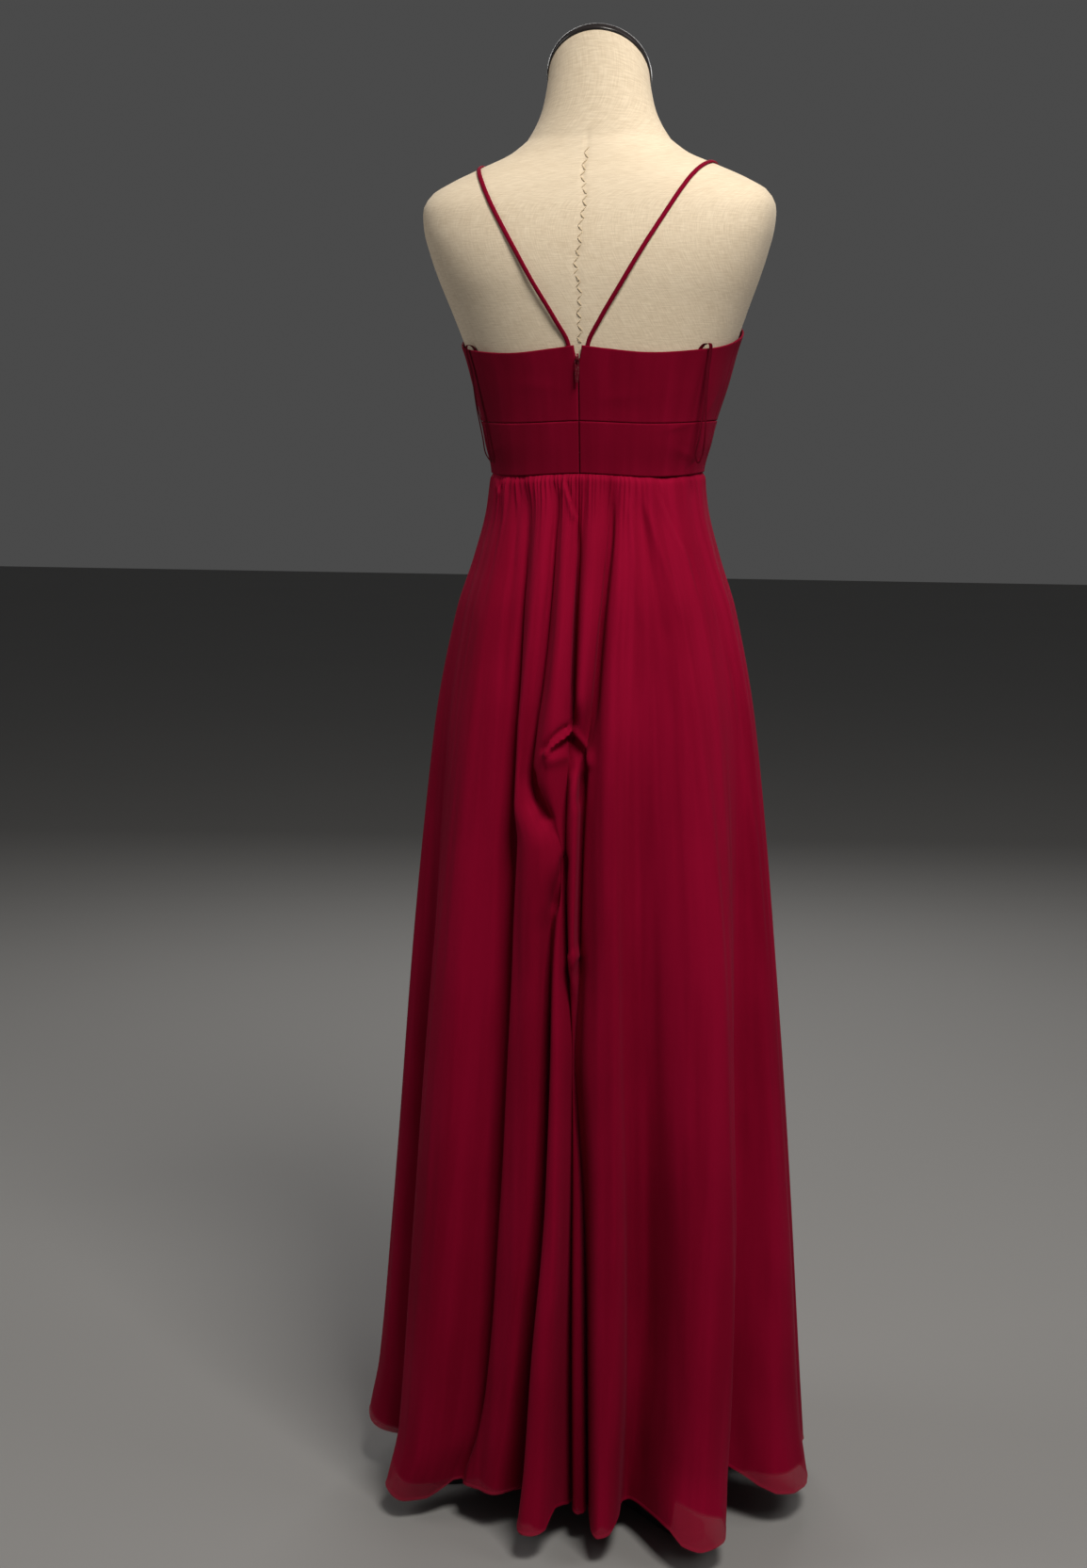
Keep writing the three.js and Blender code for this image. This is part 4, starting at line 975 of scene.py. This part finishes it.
def make_bodice(material):
    body = {
        "bottom": lambda a: band_seam_z(a) + SEAM_GAP / 2,
        "top": top_edge_z,
        "distance": BODICE_EASE + BODICE_WALL,
        "thickness": BODICE_WALL,
    }
    band = {
        "bottom": lambda a: waist_seam_z(a) + SEAM_GAP / 2,
        "top": lambda a: band_seam_z(a) - SEAM_GAP / 2,
        "distance": BODICE_EASE + BODICE_WALL + BAND_PROUD,
        "thickness": BODICE_WALL + BAND_PROUD,
    }
    pieces = [  # node, name, start, end, columns, rows, what parts each end from its seam, shape
        ("bodice_back_right", "bodice_back_right", 0, 90, 110, 70, (notch_width, sewn), body),
        ("bodice_back_left", "bodice_back_left", -90, 0, 110, 70, (sewn, notch_width), body),
        ("bodice_front", "bodice_front", 90, 270, 200, 80, (sewn, sewn), body),
        ("waistband_back_right", "band_back_right", 0, 90, 110, 44, (zipped, sewn), band),
        ("waistband_back_left", "band_back_left", -90, 0, 110, 44, (sewn, zipped), band),
        ("waistband_front", "band_front", 90, 270, 200, 44, (sewn, sewn), band),
    ]
    made = {}
    for node, name, *spans, parted, shape in pieces:
        made[node] = bodice_piece(f"cloth_{name}", *spans, parted=parted, material=material, **shape)
    return made


# ---- the skirt -------------------------------------------------------------------------------------------


def front_lines():
    lines = []
    for (ridge, reaches, valley, dips), crease in zip(FRONT_FOLDS, FRONT_CREASES):
        lines.append((0, 1, list(zip(FRONT_LEVELS, ridge, (*reaches, 0)))))
        if valley is not None:
            lines.append((crease, 1, list(zip(FRONT_LEVELS, valley, (*dips, 0)))))
    return lines


def once_round(line):
    """The same line, reached after a whole turn round the figure."""
    crease, breadth, stops = line
    return crease, breadth, [(z, angle + 360, reach) for z, angle, reach in stops]


FOLD_LINES = [*BACK_LINES, RIGHT_SEAM, *front_lines(), once_round(BACK_LINES[0])]


def skirt_outline(angle, z):
    side, back, front = (column(SKIRT_SECTIONS, index, z) for index in (1, 2, 3))
    return oval(angle, side, back, front, SKIRT_POWER)


def skirt_rows():
    rows = []
    for (low, step), (high, _) in zip(SKIRT_ROWS, SKIRT_ROWS[1:]):
        rows.extend(np.linspace(low, high, max(1, round((high - low) / step)), endpoint=False))
    return np.array([*rows, WAIST_Z])


def crease_lift(angle, z):
    """What the single creases add to the surface, in mm."""
    lift = np.zeros(angle.shape)
    around = np.mod(angle + 100, 360) - 100
    for _, width, height, step, stops in CREASES:
        path = np.array(stops, float) * (DEGREE, 1)
        lengths = np.linalg.norm(np.diff(path, axis=0), axis=-1)
        total = lengths.sum()
        best = np.full(angle.shape, np.inf)
        side = np.zeros(angle.shape)
        share = np.zeros(angle.shape)
        before = 0.0
        x, y = around * DEGREE, z
        for (x0, y0), (x1, y1), length in zip(path, path[1:], lengths):
            dx, dy = (x1 - x0) / length, (y1 - y0) / length
            along = np.clip((x - x0) * dx + (y - y0) * dy, 0, length)
            gap_x, gap_y = x - x0 - along * dx, y - y0 - along * dy
            distance = np.hypot(gap_x, gap_y)
            nearer = distance < best
            best = np.where(nearer, distance, best)
            side = np.where(nearer, dx * gap_y - dy * gap_x, side)
            share = np.where(nearer, (before + along) / total, share)
            before += length
        fade = smooth_step(share / CREASE_FADE) * smooth_step((1 - share) / CREASE_FADE)
        reach = np.exp(-((best / width) ** 2))
        signed = side / width
        lift += fade * reach * (height + step * signed * STEP_SLOPE)
    return lift


def ripple_lift(angle, z):
    down = np.clip((WAIST_Z - z) / 500, 0, 1)
    lift = np.zeros(angle.shape)
    for count, drift, height in RIPPLES:
        lift += height * np.sin(np.radians(angle) * count + z * MM * drift * 2 * math.pi + count)
    return lift * down


def gathers(waist_angles, rows):
    """The fine gathers under the waistband, for each row and column of the skirt's grid."""
    rng = np.random.default_rng(SEED)
    places = []
    angle = -90.0
    while angle < 269:
        places.append(angle)
        angle += GATHER["spacing"] * rng.uniform(0.55, 1.6)
    places = np.array(places)
    zones = np.array(GATHER_ZONES, float)
    share = np.interp(places, zones[:, 0], zones[:, 1])
    height = rng.uniform(*GATHER["height"], len(places)) * share
    length = rng.uniform(*GATHER["length"], len(places)) * (0.4 + 0.6 * share)
    width = GATHER["width"] * rng.uniform(0.85, 1.2, len(places))
    away = np.mod(waist_angles[None] - places[:, None] + 180, 360) - 180
    across = np.exp(-((away / width[:, None]) ** 2))
    depth = (WAIST_Z - rows)[:, None]
    down = height * np.exp(-((depth / length) ** 2)) * smooth_step(0.35 + depth / 6)
    return down @ across


def along_lines(part, rows):
    """Where each fold line is at each row: its angle if part is 1, and its reach if part is 2."""
    curves = []
    for _, _, listed in FOLD_LINES:
        stops = np.array(listed, float)
        curves.append(smooth_through(stops[:, 0], stops[:, part], rows))
    return np.stack(curves, axis=-1)


def skirt_grid(rows, u):
    """The skirt's outer face all round: a grid of points, the sheet's normals and the angles.

    u counts the fold lines, so it is a whole number on each of them.
    """
    index = np.clip(np.floor(u).astype(int), 0, LAST_LINE - 1)
    t = u - index
    z = rows[:, None]
    angles = along_lines(1, rows)
    radii = skirt_outline(angles, z) + along_lines(2, rows)
    creases = np.array([crease for crease, _, _ in FOLD_LINES])
    down = smooth_step((WAIST_Z - rows) / FOLDS["full_below"])[:, None]
    breadths = np.array([breadth for _, breadth, _ in FOLD_LINES])
    from_valley = index % 2 == 0
    breadth = np.where(from_valley, breadths[index + 1], breadths[index])
    ridge = RIDGE_ROUNDNESS["waist"] + (RIDGE_ROUNDNESS["hem"] * breadth - RIDGE_ROUNDNESS["waist"]) * down
    valley = VALLEY_ROUNDNESS["waist"] + (VALLEY_ROUNDNESS["hem"] - VALLEY_ROUNDNESS["waist"]) * down
    start_slope = np.where(from_valley, valley, ridge)
    end_slope = np.where(from_valley, ridge, valley)
    settle = smooth_step((WAIST_Z - rows) / FOLDS["sharp_below"])[:, None]
    softer = creases * FOLDS["ridge_share"]
    start_crease = np.where(from_valley, creases[index], softer[index]) * settle
    end_crease = np.where(from_valley, softer[index + 1], creases[index + 1]) * settle
    ease = 3 * t**2 - 2 * t**3
    rise = t**3 - 2 * t**2 + t
    fall = t**3 - t**2
    along = ease + start_slope * rise + end_slope * fall
    out = ease + FOLDS["sharpness"] * (start_crease * rise + end_crease * fall)
    angle = angles[:, index] + (angles[:, index + 1] - angles[:, index]) * along
    radius = radii[:, index] + (radii[:, index + 1] - radii[:, index]) * out
    radius = radius + gathers(angle[-1], rows)
    pinch = SEAM_PINCH["depth"] * np.exp(-(((WAIST_Z - rows) / SEAM_PINCH["length"]) ** 2))
    radius = radius - pinch[:, None]
    share = (z - HEM_Z) / (WAIST_Z - HEM_Z)
    drop = (WAIST_Z - waist_seam_z(angle) + SEAM_GAP / 2) * smooth_step(share * 6 - 5)
    lift = by_angle(HEM_RISES, angle[:1]) * smooth_step(1 - share * 3.5)
    points = place(angle, radius, z - drop + lift)
    added = crease_lift(angle, np.broadcast_to(z, angle.shape)) + ripple_lift(angle, z)
    points = points + ring_normals(points) * added[..., None]
    return points, ring_normals(points), angle


def by_angle(table, angle):
    """A table of angle and value, all round the figure."""
    rows = np.array(table, float)
    return np.interp(angle, rows[:, 0], rows[:, 1], period=360)


def skirt_panel(name, points, normals, past, rows, material):
    """One panel from its columns of the skirt's grid. past is each point's height above the lining's hem."""
    shift = np.zeros(points.shape[1])
    shift[0] = SKIRT_SEAM_GAP / 2
    shift[-1] = -SKIRT_SEAM_GAP / 2
    turn = shift / np.hypot(points[..., 0], points[..., 1])
    x = points[..., 0] * np.cos(turn) - points[..., 1] * np.sin(turn)
    y = points[..., 0] * np.sin(turn) + points[..., 1] * np.cos(turn)
    points = np.stack([x, y, points[..., 2]], axis=-1)
    roll = HEM_ROLL["extra"] * smooth_step((HEM_Z + HEM_ROLL["height"] - rows) / 1.2)[:, None, None]
    made = shell(name, points + normals * roll, points - normals * (CLOTH + roll), material, 60)
    layer = made.data.attributes.new("above_lining_hem", "FLOAT", "POINT")
    both = np.concatenate([past.ravel(), past.ravel()])
    layer.data.foreach_set("value", both.astype(np.float32) * MM)
    return made


def make_skirt(material):
    rows = skirt_rows()
    back = np.linspace(0, LINE_AT_RIGHT_SIDE, LINE_AT_RIGHT_SIDE * BACK_COLUMNS + 1)
    front_columns = (LAST_LINE - LINE_AT_RIGHT_SIDE) * FRONT_COLUMNS
    front = np.linspace(LINE_AT_RIGHT_SIDE, LAST_LINE, front_columns + 1)
    points, normals, angle = skirt_grid(rows, np.concatenate([back, front[1:]]))
    past = points[..., 2] - by_angle(LINING_HEM, angle)
    middle = LINE_AT_CENTRE_BACK * BACK_COLUMNS
    side = LINE_AT_RIGHT_SIDE * BACK_COLUMNS
    spans = {
        "skirt_back_left": slice(0, middle + 1),
        "skirt_back_right": slice(middle, side + 1),
        "skirt_front": slice(side, None),
    }
    made = {}
    for node, span in spans.items():
        parts = (points[:, span], normals[:, span], past[:, span])
        made[node] = skirt_panel(f"cloth_{node}", *parts, rows, material)
    return made


# ---- straps, loops and zip -------------------------------------------------------------------------------


def catmull_rom(guides, count):
    """Points on the centripetal curve through the guides, evenly shared between them, as in the CAD."""
    guides = np.asarray(guides, float)
    first = 2 * guides[0] - guides[1]
    last = 2 * guides[-1] - guides[-2]
    points = np.concatenate([[first], guides, [last]])
    made = []
    for share in np.linspace(0, 1, count):
        place_on = share * (len(guides) - 1)
        i = min(int(place_on), len(guides) - 2)
        w = place_on - i
        p0, p1, p2, p3 = points[i : i + 4]
        dt0, dt1, dt2 = (np.linalg.norm(b - a) ** 0.5 for a, b in ((p0, p1), (p1, p2), (p2, p3)))
        m1 = ((p1 - p0) / dt0 - (p2 - p0) / (dt0 + dt1) + (p2 - p1) / dt1) * dt1
        m2 = ((p2 - p1) / dt1 - (p3 - p1) / (dt1 + dt2) + (p3 - p2) / dt2) * dt1
        c2 = -3 * p1 + 3 * p2 - 2 * m1 - m2
        c3 = 2 * p1 - 2 * p2 + m1 + m2
        made.append(p1 + m1 * w + c2 * w**2 + c3 * w**3)
    return np.array(made)


def make_strap(name, side, material):
    """A rouleau strap, a thin stitched tube, from the centre back over the shoulder to the front edge."""
    guides = np.array(STRAP_GUIDES, float)
    path = catmull_rom(guides[:, :3] * (-side, 1, 1), 150)
    off = smooth_through(np.arange(len(guides)), guides[:, 3], np.linspace(0, len(guides) - 1, 150))
    points, facing = on_form(path, off)
    return sweep(name, points, facing, oval_section(STRAP["width"], STRAP["depth"], 16), material)


def make_loop(loop, material):
    edge = float(top_edge_z(loop["angle"]))
    inside = BODICE_EASE / 2
    outside = BODICE_EASE + BODICE_WALL + 1.2
    hang = loop["hang"]
    drop = LOOP["drop"]
    mirror = math.copysign(1, loop["angle"])
    lean = -LOOP["lean"]

    def strand(shift, spread):
        return [
            (shift + lean, edge - LOOP["tuck"], inside),
            (shift + lean, edge - 1, inside),
            (shift + lean * 0.7, edge + 4, inside + 1),
            (shift + lean * 0.2, edge + 4.4, outside - 0.2),
            (shift, edge - 4, outside + 1.4),
            (shift, edge - 20, hang[0]),
            (shift * 1.3, edge - drop * 0.5, hang[1]),
            (shift + spread * 0.8, edge - drop * 0.78, hang[2]),
            (shift + spread, edge - drop + 8, hang[2]),
        ]

    outer_strand = strand(LOOP["apart"], 0)
    inner_strand = strand(-LOOP["apart"], -LOOP["spread"])
    foot = (-LOOP["spread"] / 2, edge - drop, hang[3])
    guides = [*inner_strand, foot, *reversed(outer_strand)]
    ahead = outside_form(loop["angle"] + 1, edge, np.float64(0))
    behind = outside_form(loop["angle"] - 1, edge, np.float64(0))
    across = unit(ahead - behind)
    stops = []
    for shift, z, off in guides:
        on_edge = outside_form(loop["angle"], z, np.float64(off))
        stops.append(on_edge + across * mirror * (shift + LOOP["outward"]))
    path = catmull_rom(stops, 150)
    facing = unit(np.cross(across, unit(np.gradient(path, axis=0))))
    section = oval_section(LOOP["width"], 0.6, 10, 3.0)
    return sweep(f"ribbon_loop_{loop['name']}", path, facing, section, material)


def make_zip(tape, coil_material):
    """The tape behind the back edges, with the coil's teeth down its middle."""
    half = math.degrees(ZIP_TAPE["width"] / 2 / float(form_radius(0, WAIST_Z)))
    levels = np.linspace(ZIP_TAPE["bottom"], ZIP_TAPE["top"], 90)
    angle, z = np.meshgrid(np.linspace(-half, half, 15), levels)
    middle = (BODICE_EASE + ZIP_TAPE["thickness"]) / 2
    outer = outside_form(angle, z, np.full(z.shape, middle))
    inner = outside_form(angle, z, np.full(z.shape, middle - ZIP_TAPE["thickness"]))
    made_tape = shell("zip_tape_cloth", outer, inner, tape)
    height = np.linspace(ZIP_TAPE["bottom"] + 4, ZIP_TAPE["top"] - 6, 1500)
    turn = height * 2 * math.pi / 1.35
    spine = outside_form(0, height, np.full(height.shape, middle + 0.3))
    path = spine + np.stack([1.3 * np.cos(turn), 0.34 * np.sin(turn), 0 * turn], axis=-1)
    facing = np.broadcast_to((0.0, 0.0, 1.0), path.shape)
    coil = sweep("zip_coil", path, facing, oval_section(0.34, 0.34, 5), coil_material)
    return made_tape, coil


def outline_plate(name, outline, hole, depth, bevel, material, to_point):
    """A flat plate with a hole and softened edges, from two outlines with as many points."""
    outline, hole = np.asarray(outline, float), np.asarray(hole, float)
    centre = hole.mean(axis=0)
    from_outline = np.linalg.norm(outline - centre, axis=-1, keepdims=True)
    from_hole = np.linalg.norm(hole - centre, axis=-1, keepdims=True)
    shrink = (outline - centre) * (1 - bevel / from_outline) + centre
    widen = (hole - centre) * (1 + bevel / from_hole) + centre
    half = depth / 2
    layers = [(widen, half), (shrink, half), (outline, half - bevel), (outline, bevel - half),
              (shrink, -half), (widen, -half), (hole, bevel - half), (hole, half - bevel)]
    rings = np.array([[to_point(x, y, d) for x, y in points] for points, d in layers])
    count = rings.shape[1]
    at = np.arange(len(layers) * count).reshape(len(layers), count)
    ahead = np.roll(at, -1, axis=1)
    faces = []
    for ring in range(len(layers)):
        following = (ring + 1) % len(layers)
        faces.extend(np.stack([at[ring], at[following], ahead[following], ahead[ring]], axis=-1).tolist())
    return mesh_object(name, rings.reshape(-1, 3), faces, material, None, 45)


def rounded_outline(points, per_side):
    """Evenly spaced points along a closed outline."""
    points = np.asarray(points, float)
    closed = np.concatenate([points, points[:1]])
    lengths = np.concatenate([[0], np.cumsum(np.linalg.norm(np.diff(closed, axis=0), axis=-1))])
    at = np.linspace(0, lengths[-1], per_side, endpoint=False)
    return np.stack([np.interp(at, lengths, closed[:, axis]) for axis in (0, 1)], axis=-1)


def make_slider(material):
    face = float(form_radius(0, SLIDER_Z)) + BODICE_EASE + BODICE_WALL + SLIDER_BODY["clear"]
    half = SLIDER_BODY["half_height"]
    levels = np.linspace(-1, 1, 15)
    rings = []
    for level in levels:
        pinch = math.sqrt(max(0.0, 1 - abs(level) ** 6)) * 0.3 + 0.7
        width = SLIDER_BODY["width"] * (pinch - 0.12 * (level < 0) * abs(level))
        section = oval_section(width, SLIDER_BODY["plate"] * pinch, 16, 4.0)
        middle = face + SLIDER_BODY["plate"] * pinch / 2
        rings.append([(x, middle + y, SLIDER_Z + level * half) for x, y in section])
    body = loft("slider_body", np.array(rings)[:, ::-1], material)
    top = face + SLIDER_BODY["plate"]
    reach, depth = BRIDGE["half_height"], BRIDGE["depth"]
    turn = np.linspace(-math.pi / 2, math.pi / 2, 25)
    bend = np.sign(np.sin(turn)) * np.abs(np.sin(turn)) ** 0.7
    out = top - 0.4 + (depth + 0.4) * np.cos(turn) ** 0.5
    path = np.stack([0 * turn, out, SLIDER_Z + reach * bend], axis=-1)
    facing = np.broadcast_to((1.0, 0.0, 0.0), path.shape)
    bridge = sweep("slider_bridge", path, facing, oval_section(*BRIDGE["wire"], 10, 3.0), material)
    return joined("zip_slider_metal", [body, bridge])


def make_pull(material, pivot):
    tab = PULL_TAB
    top = tab["bar"] / 2
    tip = top - tab["length"]
    turn = np.linspace(math.pi, 2 * math.pi, 13)
    end = tab["width"] * 0.34
    outline = [(tab["width"] / 2 - 0.9, top), (-tab["width"] / 2 + 0.9, top), (-tab["width"] / 2, top - 0.9)]
    outline += [(-tab["width"] / 2, top - tab["hole_length"] - 2 * tab["bar"])]
    outline += [(end * math.cos(a), tip + end + end * math.sin(a)) for a in turn]
    outline += [(tab["width"] / 2, top - tab["hole_length"] - 2 * tab["bar"]), (tab["width"] / 2, top - 0.9)]
    low = top - tab["bar"] - tab["hole_length"]
    high = top - tab["bar"]
    side = tab["hole"] / 2
    hole = [(side - 0.7, high), (0.7 - side, high), (-side, high - 0.7), (-side, low + 0.7)]
    hole += [(0.7 - side, low), (side - 0.7, low), (side, low + 0.7), (side, high - 0.7)]
    outer = rounded_outline(outline, 72)
    inner = rounded_outline(hole, 72)
    return outline_plate("zip_pull_metal", outer, inner, tab["thickness"], 0.22, material,
                         lambda x, y, d: (x, pivot[1] - d, pivot[2] + y))


# ---- the scene -------------------------------------------------------------------------------------------


def make_camera():
    turn = math.radians(CAMERA["angle"])
    down = math.radians(CAMERA["down"])
    yaw = (CAMERA["axis_x"] - PHOTO["width"] / 2) / PHOTO["focal"]
    ahead = Vector((math.sin(turn), -math.cos(turn), 0))
    right = Vector((-math.cos(turn), -math.sin(turn), 0))
    level = ahead * math.cos(yaw) - right * math.sin(yaw)
    right = right * math.cos(yaw) + ahead * math.sin(yaw)
    up = Vector((0, 0, math.cos(down))) + level * math.sin(down)
    back = -(level * math.cos(down) - Vector((0, 0, math.sin(down))))
    data = bpy.data.cameras.new("photo_camera")
    data.sensor_width = SENSOR
    data.lens = SENSOR * PHOTO["focal"] / PHOTO["height"]
    data.clip_end = 60
    camera = bpy.data.objects.new("photo_camera", data)
    camera.matrix_world = Matrix((right, up, back)).transposed().to_4x4()
    away = CAMERA["distance"]
    camera.location = (-away * math.sin(turn), away * math.cos(turn), CAMERA["height"])
    bpy.context.scene.collection.objects.link(camera)
    bpy.context.scene.camera = camera


def make_lights():
    for name, where, aim, size, power, colour in LIGHTS:
        data = bpy.data.lights.new(name, "AREA")
        data.size = size
        data.energy = power
        data.color = colour
        light = bpy.data.objects.new(name, data)
        light.location = where
        light.rotation_euler = (Vector(aim) - Vector(where)).to_track_quat("-Z", "Y").to_euler()
        bpy.context.scene.collection.objects.link(light)
    world = bpy.data.worlds.new("studio")
    world.use_nodes = True
    background = world.node_tree.nodes["Background"]
    background.inputs["Color"].default_value = (*WORLD["colour"], 1)
    background.inputs["Strength"].default_value = WORLD["strength"]
    bpy.context.scene.world = world
    bpy.context.scene.view_settings.view_transform = "Standard"


def make_floor():
    look = Look("pale_floor", roughness=0.9, specular=0.2)
    tone = look.noise(look.coordinates("Object", (1.2, 1.2, 1.2)), detail=2)
    paler = tuple(1.05 * part for part in COLOURS["floor"])
    look.link(look.blend(tone, COLOURS["floor"], paler), look.shader.inputs["Base Color"])
    corners = [(x * FLOOR_REACH, y * FLOOR_REACH, 0) for x, y in ((-1, -1), (1, -1), (1, 1), (-1, 1))]
    mesh_object("floor", corners, [(0, 1, 2, 3)], look.material)


# ---- everything together ---------------------------------------------------------------------------------


def takes_over(made, node, body="root"):
    """Put a piece on the body it rides on, and hide the solid that it stands for."""
    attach(made, body)
    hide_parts(node)


def main():
    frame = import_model()
    make_camera()
    make_lights()
    make_floor()

    chiffon = chiffon_look("chiffon_painted_darker", BODICE_SHADE)
    skirt_chiffon = chiffon_look("chiffon_skirt", sheer=True)
    ribbon = ribbon_look()
    tape = tape_look()
    linen = linen_look()
    metal = metal_look()
    iron = iron_look()

    for node, made in make_skirt(skirt_chiffon).items():
        takes_over(made, node)

    for node, made in make_bodice(chiffon).items():
        takes_over(made, node)

    for side, node in ((1, "strap_right"), (-1, "strap_left")):
        takes_over(make_strap(f"cloth_{node}", side, chiffon), node)

    for loop in LOOPS:
        takes_over(make_loop(loop, ribbon), f"hanging_loop_{loop['name']}")

    made_tape, coil = make_zip(tape, metal)
    takes_over(made_tape, "zip_tape")
    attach(coil, "root")

    takes_over(make_slider(metal), "zip_slider")

    hinge = [place_in / MM for place_in in frame["joints"][0]["pos_m"]]
    takes_over(make_pull(metal, hinge), "zip_pull", body="pull")

    takes_over(make_torso(linen), "form_torso")
    stitches = make_back_stitches(thread_look())
    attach(stitches, "root")

    takes_over(make_neck_cap(lacquer_look()), "form_neck_cap")

    for node in ("stand_pole", "stand_base"):
        kept = frame["nodes"][node]
        kept.data.materials.clear()
        kept.data.materials.append(iron)


main()
